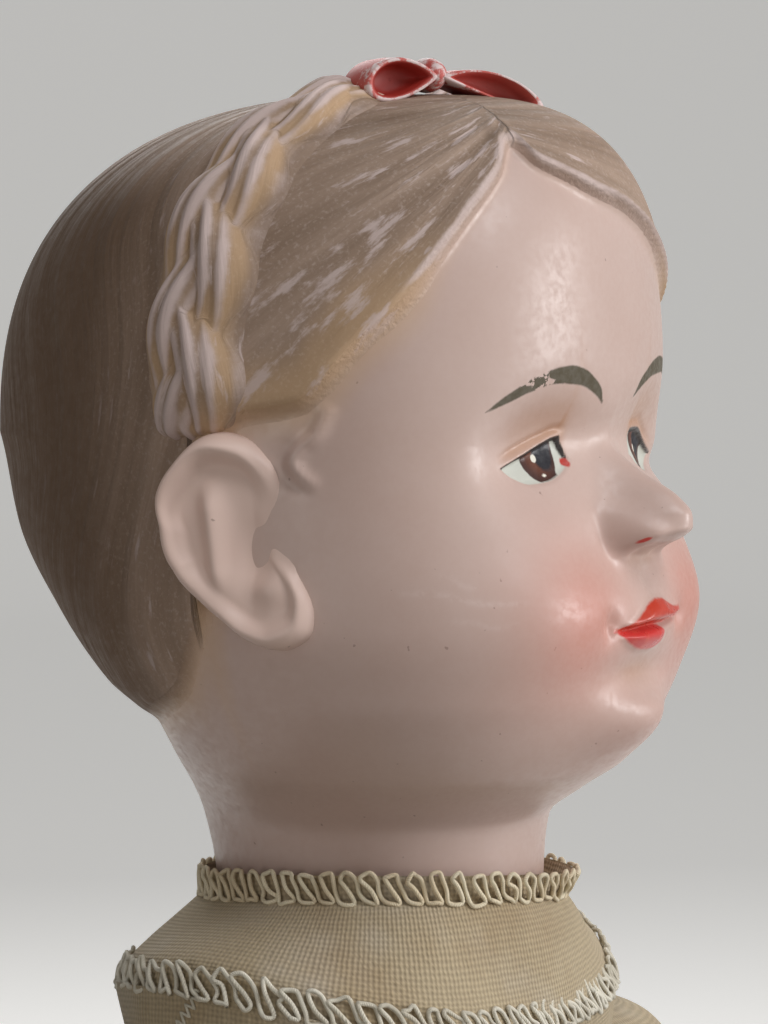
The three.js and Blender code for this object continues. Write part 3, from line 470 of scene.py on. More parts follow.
def faceRelief(x, z):
    # how far the face stands in front of the plain skull, as a sum of swellings and creases
    side = np.abs(x)
    relief = noseHeight(z) * np.exp(-((side / noseWidth(z)) ** 2.3))
    for height, at, size in face["swellings"]:
        relief = relief + height * hump(side, z, at, size)
    height, at, size = face["farHollow"]
    relief = relief + height * hump(x, z, at, size)
    across, lidZ = eyeSide(x), underLid(x, z)
    relief = relief - 0.42 * ease(-0.25, 0.3, bandInside(across, lidZ, lowerLid, upperLid, *face["eye"]))
    overLid = awayFrom(upperLid, np.clip(across, 7.7, 15.2), lidZ)
    lid = 0.22 * bell(overLid - 0.25, 0.45) - 0.2 * bell(overLid - 1.0, 0.35)
    relief = relief + lid * ease(6.4, 8.2, across) * (1 - ease(13.4, 16.4, across))
    crease = 0.95 * ease(7.0, 5.0, side) * bell(z - lipParting(x), 0.42)
    return relief + 0.8 * ease(-0.6, 1.2, lipInside(x, z)) - crease


def hairInside(turn, z):  # mm above the hair's edge, measured square to it
    degrees = np.degrees(turn)
    slope = (hairEdge(degrees + 0.4) - hairEdge(degrees - 0.4)) / (0.8 * np.pi / 180 * 28.5)
    return (z - hairEdge(degrees)) / np.sqrt(1 + slope ** 2)


def plaitY(z):  # the plait comes forwards near the crown
    return 3.0 - 6.5 * overBrow(z) ** 6


def sideCurl(turn, z):
    # a small raised lock in front of the ear: a ridge along a hooked curve, with a groove behind it
    share = np.linspace(0, 1, 50)
    beside = np.degrees(np.abs(turn)) * 0.515
    ridge, groove, nearest = (np.full(beside.shape, v) for v in (9.0, 9.0, 0.0))
    for s, h, v in zip(share, *alongRows(hair["curl"], share)):
        away = np.hypot(beside - h, z - v)
        nearest = np.where(away < ridge, s, nearest)
        ridge = np.minimum(ridge, away)
        groove = np.minimum(groove, np.hypot(beside - h - 1.4, z - v + 0.3))
    strength = np.sin(np.pi * (0.12 + 0.76 * nearest))
    return strength * (0.8 * bell(ridge, 0.7) - 0.4 * bell(groove, 0.8))


def headSurface(turn, z):
    # polar superellipse of each level, pushed forwards by the face and outwards by the hair
    radius = ovalRadius(turn, *headSection(z))
    x, y = radius * np.sin(turn), -radius * np.cos(turn)
    y = y - ease(0.08, 0.45, np.cos(turn)) * faceRelief(x, z)
    inside = hairInside(turn, z)
    roll = bell(inside - 1.4, 1.0) * ease(48, 58, z)
    lift = hair["step"] * ease(-0.5, 1.3, inside) + 0.5 * roll + sideCurl(turn, z)
    return grid(x, y, z) + unit(grid(x, y, 0)) * lift[..., None], inside


def hairFlow(turn, z):
    # strand and distance along it: rays from a point past the forehead's peak on each side of the parting
    h = np.degrees(turn) * 0.5
    v = np.minimum(z, head["brow"]) + head["rise"] * np.arcsin(overBrow(z))
    flows = []
    for fan, way in ((hair["nearFan"], -1), (hair["farFan"], 1)):
        dh, dv = (h - fan[0]) * way, fan[1] - v
        flows.append((np.arctan2(dv, dh) * 26 * way, np.hypot(dh, dv)))
    near = h < hair["parting"] + 0.1 * (v - 78)
    return [np.where(near, a, b) for a, b in zip(*flows)]


def headRows():  # even rows up the neck and face, then rows by angle over the dome
    neck = np.linspace(head["bottom"], head["chin"], 34, endpoint=False)
    middle = np.linspace(head["chin"], head["dome"], 236, endpoint=False)
    start = np.arcsin(overBrow(head["dome"]))
    dome = head["brow"] + head["rise"] * np.sin(np.linspace(start, np.pi / 2 - 0.004, 66))
    return np.concatenate([neck, middle, dome])


def paintedFace(w, colour, fine):  # the face's colours in the order they were painted, and three masks
    at = w.objectAt()
    colour = w.mix(w.attribute("blush", 0.6), colour, skinTone["blush"])
    colour = w.mix(w.attribute("lidTint", 0.5), colour, skinTone["lid"])
    colour = w.mix(w.attribute("scuff", w.span(fine, 0.35, 0.6)), colour, skinTone["scuff"])
    inEye, inIris = w.attribute("eyeInside"), w.attribute("irisInside")
    colour, eyeMask = paint(w, colour, faceTone["eyeWhite"], inEye, 0.12)
    inEye = w.math("SUBTRACT", inEye, 0.05)
    iris = w.mix(w.span(inIris, 0.0, 1.6), faceTone["irisRim"], faceTone["iris"])
    colour, _ = paint(w, colour, iris, w.math("MINIMUM", inIris, inEye), 0.14, 0.12)
    inPupil = w.math("MINIMUM", w.attribute("pupilInside"), inEye)
    colour, _ = paint(w, colour, faceTone["pupil"], inPupil, 0.25, 0.12)
    colour, _ = paint(w, colour, faceTone["glint"], w.attribute("glintInside"), 0.12)
    colour, _ = paint(w, colour, faceTone["lash"], w.attribute("lidLine"), 0.14, 0.1)
    colour, _ = paint(w, colour, faceTone["dots"], w.attribute("redDots"), 0.2, 0.15)
    wear = w.attribute("browWear", w.span(w.noise(at, 800.0, 4.0, 0.65), 0.44, 0.56))
    inBrow = w.math("SUBTRACT", w.attribute("browInside"), wear)
    colour, browMask = paint(w, colour, faceTone["brow"], inBrow, 0.18, 0.12)
    lips = w.mix(w.attribute("lowerLip"), faceTone["upperLip"], faceTone["lowerLip"])
    lips = w.mix(w.span(w.noise(at, 700.0), 0.5, 0.75, 0.0, 0.5), lips, faceTone["lipWear"])
    colour, lipMask = paint(w, colour, lips, w.attribute("lipInside"), 0.25, 0.2)
    return colour, w.math("MAXIMUM", eyeMask, browMask), lipMask


def paintedHair(w, combing, locks, strands):  # brush strokes, worn streaks and worn ridges, then painted shade over the back of the head
    at = w.objectAt()
    colour = w.mix(w.span(locks, 0.3, 0.7), hairTone["dark"], hairTone["paint"])
    colour = w.mix(w.span(combing, 0.35, 0.7, 0.0, 0.4), colour, hairTone["dark"])
    colour = w.mix(w.span(w.noise(at, 2400.0), 0.5, 0.75, 0.0, 0.35), colour, hairTone["pale"])
    colour = w.mix(w.attribute("tanZone"), colour, hairTone["spray"])
    streak = w.noise(w.stretch(strands, (0.8, 0.13, 1)), 1.0, 5.0, 0.62)
    streak = w.math("MULTIPLY_ADD", w.attribute("wornZone"), 0.12, streak)
    patches = w.math("SUBTRACT", w.noise(at, 260.0, 4.0), 0.5)
    ridge = w.math("MULTIPLY_ADD", patches, 1.1, w.attribute("hairRidge"))
    worn = w.math("MAXIMUM", w.span(streak, 0.60, 0.71, 0.0, 0.7), w.span(ridge, 0.35, 1.0, 0.0, 0.8))
    colour = w.mix(worn, colour, skinTone["bare"])
    # painted shade: the back of the head darker brown
    return w.mix(w.attribute("backHairShade"), colour, hairTone["back"])


def headMaterial():
    material, w, shader = newMaterial("paintedHead")
    colour, rough, fine = enamel(w, skinTone["skin"], skinTone["shade"])
    colour, dullMask, lipMask = paintedFace(w, colour, fine)
    # brush strokes are noise stretched along the strands, which the UV map follows
    strands = w.uvAt()
    combing = w.noise(w.stretch(strands, (3.0, 0.16, 1)), 1.0)
    locks = w.noise(w.stretch(strands, (0.34, 0.022, 1)), 1.0, 2.0, 0.45)
    colour = w.mix(w.attribute("spray"), colour, hairTone["spray"])
    hairColour = paintedHair(w, combing, locks, strands)
    colour, hairMask = paint(w, colour, hairColour, w.attribute("hairPaint"), 1.5, 0.25)
    rough = w.math("MULTIPLY_ADD", hairMask, 0.2, rough)
    rough = w.math("MULTIPLY_ADD", dullMask, 0.3, rough)
    rough = w.math("MULTIPLY_ADD", lipMask, -0.16, rough)
    shine = w.span(w.noise(w.objectAt(), 1500.0), 0.35, 0.65, 0.1, 0.45)
    bare = w.math("SUBTRACT", 1.0, w.math("MAXIMUM", hairMask, lipMask))
    furrow = w.math("MULTIPLY_ADD", locks, 5.0, w.math("MULTIPLY", combing, 0.5))
    height = w.math("MULTIPLY_ADD", fine, 0.03, w.math("MULTIPLY", furrow, hairMask))
    w.join(shader, Base_Color=colour, Roughness=rough, Specular_IOR_Level=0.4, Coat_Roughness=0.3,
           Coat_Weight=w.math("MULTIPLY", shine, bare), Normal=w.bump(height, 0.0003))
    return material


def scuffMarks(degrees, z):  # thin marks along slightly bent lines, fading at both ends
    marks = np.zeros(z.shape)
    for a, low, b, high, strength in face["scuffs"]:
        share = np.clip((degrees - a) / (b - a), 0, 1)
        off = np.abs(z - low - (high - low) * share - 0.25 * np.sin(share * 7))
        off = off + 0.3 * np.maximum(0, np.abs(degrees - (a + b) / 2) - (b - a) / 2)
        marks = np.maximum(marks, strength * bell(off, 0.3) * np.sin(np.pi * share) ** 0.5)
    return marks


def faceValues(points, turn, z):
    # mm inside each painted shape, negative outside, and the strength of each tint
    x, side = points[..., 0], np.abs(points[..., 0])
    behind = np.where(points[..., 1] < -8, 0.0, 9.0)  # keeps the paint off the back of the head
    across, lidZ = eyeSide(x), underLid(x, z)
    overLid = awayFrom(upperLid, np.clip(across, 6.7, 15.2), lidZ)
    past = np.maximum(0, np.maximum(6.7 - across, across - 15.5))
    lash = (0.13 + 0.13 * ease(15, 9, across)) * (0.8 + 0.2 * ease(7.0, 8.0, across))
    fromIris = (x - np.where(x < 0, *face["iris"])) / np.where(x < 0, 1.0, face["farEye"])
    iris, pupil, glint, fleck = (size - np.hypot((fromIris - x0) / wide, (z - z0) / tall)
                                 for size, x0, z0, wide, tall in face["eyePaint"])
    innerDot = 0.42 - np.hypot(across - 6.9, z - 43.0)
    nostrils = 0.4 - np.hypot((side - 4.0) / 0.85, (z - 35.65 + 0.55 * (side - 4.0)) / 0.65)
    browSide = np.where(x > 0, 2.9 + (x - 4.1) / 1.3, side)
    shapes = {
        "eyeInside": bandInside(across, lidZ, lowerLid, upperLid, *face["eye"]),
        "irisInside": iris * 2.2, "pupilInside": pupil, "glintInside": np.maximum(glint, fleck),
        "lidLine": lash - np.abs(overLid - 0.02) - 3 * past,
        "redDots": np.maximum(innerDot, nostrils),
        "browInside": bandInside(browSide, z - 0.4 * (x > 0), browBottom, browTop, *face["brow"]),
        "lipInside": lipInside(x, z),
    }
    values = {key: inside - behind for key, inside in shapes.items()}
    lidTint = bell(overLid - 0.75, 0.7) + 0.35 * bell(overLid - 2.6, 2.2)
    lidTint = lidTint * ease(6.0, 7.8, across) * (1 - ease(13, 16.4, across)) * (behind == 0)
    hollows = 0.5 * hump(side, z, (9.0, 47.4), (5.5, 2.2)) + 0.8 * hump(x, z, (-0.6, 22.8), (3.4, 1.2))
    cheeks = hump(side, z, (11.0, 28.2), (7.0, 7.6)) * ease(0, 8, -points[..., 1])
    values["lidTint"] = lidTint + hollows + 0.5 * hump(side, z, (1.0, 33.8), (2.2, 1.0))
    values["blush"] = cheeks + 0.25 * hump(x, z, (0, 16), (7, 4))
    values["browWear"] = 1.2 * hump(x, z, (-12.6, 50.9), (1.8, 0.6))
    values["lowerLip"] = ease(0.12, -0.12, z - lipParting(x))
    values["scuff"] = scuffMarks(np.degrees(turn), z)
    return values


def hairValues(degrees, z, inHair, onFront):
    # mm inside the hair's paint, the strength of each kind of wear and tint, and of the painted shade over
    # the back of the head
    return {
        "hairPaint": inHair - 0.9 * ease(58, 64, z),
        "hairRidge": bell(inHair - 1.2, 0.6) * ease(56.5, 62, z),
        "wornZone": hump(degrees, z, (-64, 58), (20, 12)) + 0.8 * hump(degrees, z, (-36, 73), (14, 4)),
        # painted shade over the back of the head, fading out towards the crown
        "backHairShade": 0.85 * ease(98, 124, np.abs(degrees)) * ease(76, 66, z),
        "spray": (0.15 + 0.45 * ease(64, 57, z)) * ease(-1.0 - 2.6 * ease(64, 55, z), 0.5, inHair),
        "tanZone": 0.6 * ease(68, 58, z) * ease(7, 1.5, inHair) * onFront,
    }


def makeHead(material):
    # a grid of turn and height whose columns crowd towards the face, turn = even - c sin(even)
    even = around(head["columns"], -np.pi)
    turns = even - head["crowding"] * np.sin(even)
    turn, z = np.meshgrid(turns, headRows())
    degrees = np.degrees(turn)
    points, inHair = headSurface(turn, z)
    onFront = points[..., 1] < plaitY(z)
    strand, along = hairFlow(turn, z)
    backStrand = degrees * 0.52 + 3.0 * np.sin(z * 0.13 + 2.2 * np.abs(turn))
    uvAt = grid(np.where(onFront, strand, backStrand), np.where(onFront, along, z))
    values = {**faceValues(points, turn, z), **hairValues(degrees, z, inHair, onFront)}
    points = points + neckAt
    normals = gridNormals(points)
    place, (frontEnd, backStart) = np.arange(head["columns"]), np.radians(head["seams"])
    frontCols = place[np.abs(turns) < frontEnd]
    backCols = np.concatenate([place[turns >= backStart], place[turns <= -backStart]])
    halves = (("faceAndFrontHair", frontCols, "head_front"), ("backHair", backCols, "head_back"))
    for name, cols, node in halves:
        own = {key: value[:, cols] for key, value in values.items()}
        piece = sheetPiece(name, points[:, cols], material, "head", wrapU=False, uvAt=uvAt[:, cols],
                           values=own, normals=normals[:, cols])
        fit(piece, "composition", node)
    print("head: %d x %d points" % points.shape[:2])


paintedHead = headMaterial()
makeHead(paintedHead)


def skinMaterial(name, skin, shade):  # bare enamel
    material, w, shader = newMaterial(name)
    colour, rough, fine = enamel(w, skin, shade)
    w.join(shader, Base_Color=colour, Roughness=rough, Normal=w.bump(fine, 0.00001))
    return material


plainSkin = skinMaterial("plainSkin", skinTone["skin"], skinTone["shade"])
# painted light: the ears get a paler copy of the skin
earSkinPaintedLight = skinMaterial("earSkinPaintedLight", skinTone["ear"], skinTone["earShade"])


# Ears

ear = {
    "centre": (-1.5, 36.0), "rows": 46, "columns": 120, "start": -28.6, "rim": 1.5,
    "outline": [  # degrees from the back, turning up; mm from the centre
        (-28.6, 6.26), (12.8, 6.9), (35.9, 8.5), (58, 9.5), (78.6, 10.5), (97, 9.9), (114.7, 8.4), (156, 5.2),
        (201.5, 6.6), (219.8, 10.1), (230.7, 11.3), (243, 11.1), (256.5, 9.8), (276.8, 7.6), (302, 6.5),
        (331.4, 6.26)],
    "height": [  # how far the rim stands off the head
        (-30, 3.9), (0, 4.2), (40, 4.3), (80, 3.5), (100, 2.3), (118, 1.0), (140, 0.2), (170, 0.1),
        (195, 0.25), (210, 1.0), (228, 1.8), (245, 2.3), (270, 2.8), (300, 3.4), (330, 3.9)],
    "lumps": [(0.6, (-3.8, -4.2), (1.9, 1.3)), (0.5, (-4.6, -7.0), (2.4, 2.6))],  # by the opening, lobe
}


def makeEar(side, word):
    # polar patch: a rolled rim at the outline falls to a shallow dish with a fold and a deeper hollow
    share = np.linspace(0.01, 1, ear["rows"])[:, None]
    turn = np.linspace(ear["start"], ear["start"] + 360, ear["columns"], endpoint=False)
    reach = through(ear["outline"])(turn)
    dy, dz = share * reach * np.cos(np.radians(turn)), share * reach * np.sin(np.radians(turn))
    inside = (1 - share) * reach
    rim = np.sqrt(np.clip(1 - (1 - np.minimum(inside, ear["rim"]) / ear["rim"]) ** 2, 0, 1))
    toDish = ease(1.0, 3.4, inside)
    fold = bell(dy - 0.9 - 0.12 * dz, 1.1) * ease(-6.5, -2.5, dz) * (1 - ease(3, 7, dz))
    dish = 1.3 + 0.17 * dy - 0.05 * dz + 1.15 * fold - 1.1 * hump(dy, dz, (-1.9, -0.8), (1.9, 3.2))
    height = through(ear["height"])(turn) * rim * (1 - toDish) + dish * toDish
    for swell, at, size in ear["lumps"]:
        height = height + swell * hump(dy, dz, at, size)
    y, z = ear["centre"][0] + dy, ear["centre"][1] + dz
    flare = 0.24 * np.maximum(dy + 2, 0) * ease(0, 2.4, inside)
    x = ovalWidth(y, *headSection(z), 1e-6) - 0.3 + np.logaddexp(0, 4 * height) / 4 + flare
    points = grid(side * x, y, z) + neckAt
    piece = sheetPiece(word + "Ear", points, earSkinPaintedLight, "head", caps=(0,), turned=side > 0)
    fit(piece, "composition", "head_front")


for side, word in sides:
    makeEar(side, word)
print("ears")


# Plait and bow

plait = {
    "steps": 560, "across": 110, "pitch": 31.0, "start": 1.9, "sway": 2.3, "weave": 0.72, "strand": 2.7,
    "rise": 1.6, "soft": 4.2, "tail": 2.5, "mound": (0.55, 2.2), "underBow": 3.2, "over": 0.5,
    "centre": (0, 1, 38),
}


def plaitCentre(arch):  # over the head from side to side, a superellipse that turns in at both feet
    rise, across = np.abs(np.sin(arch)), np.cos(arch)
    power = 2 / head["powers"][0]
    over = hair["step"] + plait["over"]
    end = np.maximum(0, 1 - rise / 0.12) ** 2
    x = np.sign(across) * ((head["levels"][-1][1] + over) * np.abs(across) ** power - 2.6 * end)
    z = head["brow"] + (head["rise"] + over) * rise ** power - plait["tail"] * end
    return grid(x, 3.0 - 6.5 * rise ** 5, z)


def makePlait(material):
    # a moulded relief: the soft maximum of a mound and three strands with middles at A sin(t + 2 pi k / 3)
    fine = plaitCentre(np.linspace(0.002, 0.998, 1500) * np.pi)
    length = lengthsAlong(fine)
    at = np.linspace(0, length[-1], plait["steps"])
    path = np.stack([np.interp(at, length, fine[:, k]) for k in range(3)], -1)
    along = unit(np.gradient(path, axis=0))
    out = unit(path - np.array(plait["centre"]))
    out = unit(out - (out * along).sum(-1, keepdims=True) * along)
    across = np.cross(along, out)
    middle = np.abs(at - length[-1] / 2) / (length[-1] / 2)  # 0 at the crown, 1 at the feet
    scale = (0.64 + 0.36 * ease(0.1, 0.6, middle) - 0.3 * ease(0.86, 1.0, middle))[:, None]
    wide = plait["sway"] + 1.5 * plait["strand"]
    u = np.linspace(-wide, wide, plait["across"])[None] + 0 * scale
    heights = [plait["mound"][0] - plait["mound"][1] * np.abs(u / wide) ** 2.5]
    places, crests = [0.4 * u], [0 * u]
    for k in range(3):
        t = (2 * np.pi * at / plait["pitch"] + 2 * np.pi * k / 3 + plait["start"])[:, None]
        place = (u - plait["sway"] * np.sin(t)) / plait["strand"]
        waves = np.cos(8.5 * place + 1.4 * np.sin(t) + 0.7 * np.sin(2.3 * t))
        lines = 0.2 * waves * np.exp(-0.7 * place ** 2)  # combed lines along each strand
        heights.append(plait["weave"] * np.sin(2 * t) + plait["rise"] * (1 - place ** 2) + lines)
        places.append(place)
        crests.append(lines)
    heights = np.array(heights)
    total = np.log(np.exp(plait["soft"] * np.clip(heights, -6, 6)).sum(0)) / plait["soft"]
    weight = np.exp(9 * (heights - heights.max(0)))
    place, crest = ((weight * np.array(rows)).sum(0) / weight.sum(0) for rows in (places, crests))
    sunk = 3.2 * (1 - ease(0.0, 0.07, 1 - middle)) + plait["underBow"] * ease(0.22, 0.08, middle)
    lift = total * scale - sunk[:, None]
    points = path[:, None] + across[:, None] * (u * scale)[..., None] + out[:, None] * lift[..., None]
    values = {
        "hairPaint": np.full(total.shape, 5.0),
        "hairRidge": 0.42 + 0.5 * ease(0.9, 2.1, total) + 1.9 * crest,
        "wornZone": 0.6 * ease(0.6, 2.0, total),
        "tanZone": 0.65 * ease(2.4, 0.6, total) * ease(-0.8, 0.4, total),
    }
    uvAt = grid(place * 2.2, at[:, None])
    piece = sheetPiece("plait", points + neckAt, material, "head", wrapU=False, uvAt=uvAt, values=values)
    fit(piece, "composition", "head_front")


bow = {
    "knot": (-3.6, -7.0, 79.5), "axis": (0.84, -0.54, 0.0), "width": 5.6, "ball": (1.6, 2.9, 1.7),
    "columns": 96,
    "loops": ((1, 11.8, 2.5, -3.0), (-1, 8.0, 3.8, -1.0)),  # side, length, height, droop of the tip
    "stages": [  # share of the outline and place across the ribbon, from the back to the inside
        (0.02, -0.5), (0.5, -0.5), (0.93, -0.5), (1.0, -0.4), (1.03, 0.0), (1.0, 0.42), (0.95, 0.5),
        (0.84, 0.5), (0.74, 0.44), (0.66, 0.2), (0.4, 0.12), (0.02, 0.12)],
    # inside: the darker red of the painted shade inside the loops
    "red": rgb(188, 84, 76), "inside": rgb(150, 38, 28), "bare": rgb(218, 198, 196),
}


def ribbonMaterial():  # red paint, darker on the loops' inner faces as painted shade, and worn to the bare head where noise plus edge is high
    material, w, shader = newMaterial("paintedRibbon")
    at = w.objectAt()
    # painted shade: the loops' inner faces darker red
    red = w.mix(w.attribute("inner"), bow["red"], bow["inside"])
    worn = w.math("MULTIPLY_ADD", w.noise(at, 420.0, 5.0, 0.7), 0.9, w.attribute("edge"))
    colour = w.mix(w.span(worn, 0.66, 0.76), red, bow["bare"])
    w.join(shader, Base_Color=colour, Roughness=0.55, Normal=w.bump(w.noise(at, 1500.0), 0.00004, 0.7))
    return material


def makeBow(material):
    knot = neckAt + np.array(bow["knot"])
    axis = unit(np.array(bow["axis"]))
    facing = np.array([axis[1], -axis[0], 0.0])
    share, across = np.array(bow["stages"]).T[..., None]
    isInner = (share < 0.8) & (across > 0)
    edge = np.where(isInner, -0.25, np.where(across > 0.3, 0.28, 0.1))
    t = around(bow["columns"])
    for side, length, tall, drop in bow["loops"]:
        # teardrop carried across the ribbon: along = L (1 - cos t) / 2, up = 0.675 H sin t sin(t / 2)^0.7
        along, up = length * (1 - np.cos(t)) / 2, 0.675 * tall * np.sin(t) * np.sin(t / 2) ** 0.7
        reach = 0.55 * length + (along - 0.55 * length) * share
        rise = up * share + drop * (reach / length) ** 2 + 0.4
        points = knot + side * reach[..., None] * axis + (across * bow["width"])[..., None] * facing
        points = points + rise[..., None] * upward
        # painted shade inside the loops: full on the shorter loop, a quarter on the longer one
        inner = isInner * (1.0 if side < 0 else 0.25)
        values = {"inner": inner + 0 * reach, "edge": edge + 0 * reach}
        name = "bowLoop%d" % (side > 0)
        piece = sheetPiece(name, points, material, "head", values=values, turned=side < 0)
        fit(piece, "composition", "head_front")
    # knot: a squashed ball, (a cos v cos u, b cos v sin u, c sin v)
    v, u = np.linspace(-np.pi / 2 + 0.05, np.pi / 2 - 0.05, 24)[:, None], around(40)
    ball = grid(np.cos(v) * np.cos(u), np.cos(v) * np.sin(u), np.sin(v)) * np.array(bow["ball"])
    points = ball @ np.array([axis, facing, upward]) + knot + 0.6 * upward
    values = {"inner": np.zeros(ball.shape[:2]), "edge": np.full(ball.shape[:2], 0.26)}
    piece = sheetPiece("bowKnot", points, material, "head", caps=(0, -1), values=values, turned=True)
    fit(piece, "composition", "head_front")


makePlait(paintedHead)
makeBow(ribbonMaterial())
print("plait and bow")


# Cloth and thread

clothTone = {
    "cotton": rgb(184, 168, 138), "soil": rgb(154, 130, 96), "faded": rgb(198, 190, 176),
    # collar: cream thread painted paler than it is, painted light to make up for the head's shadow over the
    # collar
    "collar": (rgb(246, 236, 208), rgb(226, 210, 178)), "white": (rgb(236, 232, 216), rgb(208, 202, 184)),
    # knit: the darker tone is painted shade in the sock's rib hollows, the paler painted light on the crests
    # twist: the darker tone of the painted shade in the thread's twist
    "twist": rgb(140, 122, 94), "knit": (rgb(178, 170, 154), rgb(226, 220, 206)),
}


def clothMaterial():
    # plain weave from UVs in mm: over and under threads as sin(x) sin(y), slubs, soiling and fading, and
    # painted shade where the weave lies low
    material, w, shader = newMaterial("romperCotton")
    turned = {"Vector": w.uvAt(), "Angle": 0.75}
    place = w.add("ShaderNodeVectorRotate", {"rotation_type": "Z_AXIS"}, **turned).outputs[0]
    drift = w.add("ShaderNodeTexNoise", Vector=place, Scale=0.9, Detail=2.0).outputs["Color"]
    moved = {"n0": drift, "n1": (0.25, 0.25, 0), "n2": place}
    place = w.add("ShaderNodeVectorMath", {"operation": "MULTIPLY_ADD"}, **moved).outputs[0]
    parts = w.add("ShaderNodeSeparateXYZ", Vector=place).outputs
    threadPitch = 0.35
    warp, weft = (w.math("SINE", w.math("MULTIPLY", parts[k], 3.14159 / threadPitch)) for k in (0, 1))
    slub = w.noise(w.stretch(place, (0.5, 3.2, 1)), 1.0, 2.0)
    over = w.math("MULTIPLY_ADD", w.math("MULTIPLY", warp, weft), 0.5, 0.5)
    height = w.math("MULTIPLY_ADD", slub, 0.8, over)
    at = w.objectAt()
    soiled = w.span(w.noise(at, 75.0, 4.0), 0.42, 0.72, 0.0, 0.5)
    colour = w.mix(soiled, clothTone["cotton"], clothTone["soil"])
    faded = w.noise(w.stretch(at, (1, 1, 1), (0.7, 0.4, 0)), 62.0, 3.0, 0.55)
    colour = w.mix(w.span(faded, 0.5, 0.72, 0.0, 0.5), colour, clothTone["faded"])
    # painted shade: the colour darkened where the threads and slubs lie low
    shade = w.math("MULTIPLY_ADD", height, 0.34, 0.60)
    paintedWeaveShade = w.add("ShaderNodeCombineColor", Red=shade, Green=shade, Blue=shade).outputs[0]
    w.join(shader, Base_Color=w.mix(1.0, colour, paintedWeaveShade, "MULTIPLY"), Roughness=0.92, Sheen_Weight=0.12,
           Normal=w.bump(height, 0.00012, 0.9))
    return material


def threadMaterial(name, pale, dull):  # two tones in soft patches, twisted by diagonal waves, with painted shade along the twist
    material, w, shader = newMaterial(name)
    mixed = w.mix(w.span(w.noise(w.objectAt(), 160.0, 4.0), 0.35, 0.65), dull, pale)
    twist = w.waves("DIAGONAL", Vector=w.stretch(w.uvAt(), (1.4, 5.0, 1)), Scale=1.0, Distortion=0.6)
    # painted shade: a darker tone along the grooves of the twist
    colour = w.mix(w.span(twist, 0.1, 0.9, 0.0, 0.12), mixed, clothTone["twist"])
    w.join(shader, Base_Color=colour, Roughness=0.85, Normal=w.bump(twist, 0.00006))
    return material


def knitMaterial():  # ribs as waves round the sock, with painted shade in their hollows and painted light on their crests
    material, w, shader = newMaterial("sockKnit")
    ribs = w.waves("X", Vector=w.uvAt(), Scale=0.5, Distortion=0.4, Detail=1.0)
    # painted light and shade: the darker tone in the ribs' hollows, the paler on their crests
    w.join(shader, Base_Color=w.mix(ribs, *clothTone["knit"]), Roughness=0.95, Normal=w.bump(ribs, 0.0003))
    return material


romper = clothMaterial()
# the collar's cream thread is painted paler as painted light, against the head's shadow
collarThread = threadMaterial("collarThread", *clothTone["collar"])
whiteThread = threadMaterial("whiteThread", *clothTone["white"])
sockKnit = knitMaterial()


def loftAt(levels, turn, z, power=2.0, folds=None):
    # superellipse rings; levels are (height, half width, front, back, x, y), turn 0 faces forwards
    width, front, back, *middle = (run(z) for run in columnRuns(levels, range(1, len(levels[0]))))
    x0, y0 = middle or (0, 0)
    radius = ovalRadius(turn, width, front, back, power)
    if folds is not None:
        radius = radius + folds(turn, z)
    return grid(x0 + radius * np.sin(turn), y0 - radius * np.cos(turn) + middleY, z)


def ringLoft(heights, levels, columns, power=2.0, folds=None):  # a full ring of loftAt at each height
    return loftAt(levels, around(columns, -np.pi)[None], np.asarray(heights, float)[:, None], power, folds)


def girth(points, wrap=True):  # mm round the middle row and the mean length of the columns
    ring = points[len(points) // 2]
    closing = np.linalg.norm(ring[0] - ring[-1]) if wrap else 0
    lengths = np.linalg.norm(np.diff(points, axis=0), axis=-1).sum(0)
    return lengthsAlong(ring)[-1] + closing, lengths.mean()


def creases(seed, count, size, lean=0.25):
    # a sum of slanted ripples: a sin(n turn + k z + phase), with whole n so that the ring closes
    rng = np.random.default_rng(seed)
    waves = [(rng.integers(3, 11), rng.uniform(-lean, lean), rng.uniform(0, 6.28), rng.uniform(0.3, 1))
             for _ in range(count)]

    def at(turn, z):
        total = sum(a * np.sin(n * turn + k * z + p) for n, k, p, a in waves)
        return size * total / np.sqrt(count)

    return at


def putCloth(points, name, body, node, held, restsOn, wrap=True, **more):
    # a piece of cotton with its cut size; the flat size is the loft's girth and length
    size = girth(points, wrap)
    piece = sheetPiece(name, points, romper, body, wrapU=wrap, uvSize=size, **more)
    return fit(piece, "romper_cotton", node)


bodice = {
    "levels": [  # height, half width, front, back
        (164.3, 32.7, 26.7, 22.7), (182, 30.0, 25.2, 20.2), (195, 29.6, 22.6, 19.2), (206, 29.8, 20.6, 19.7),
        (215, 29.8, 19.2, 19.7), (226.6, 28.6, 20.7, 24.3)],
    "rows": (164.2, 227.2, 130), "power": 2.3,
    "yoke": [
        (226.8, 28.4, 20.9, 24.5), (229.6, 26.8, 20.6, 23.8), (231, 25.0, 20.2, 22.7),
        (233.6, 21.3, 19.3, 20.3), (236.2, 17.8, 17.9, 17.8)],
    "yokeRows": (226.8, 236.3, 60), "yokePower": 2.1, "columns": 320,
    "toCamera": -60.0, "nearLift": 2.6, "hemFront": -1.5, "hemShoulder": 5.2, "hemBack": 2.0,
    "placket": 5.0, "neckHem": 236.2, "yokeHem": 226.8,
}


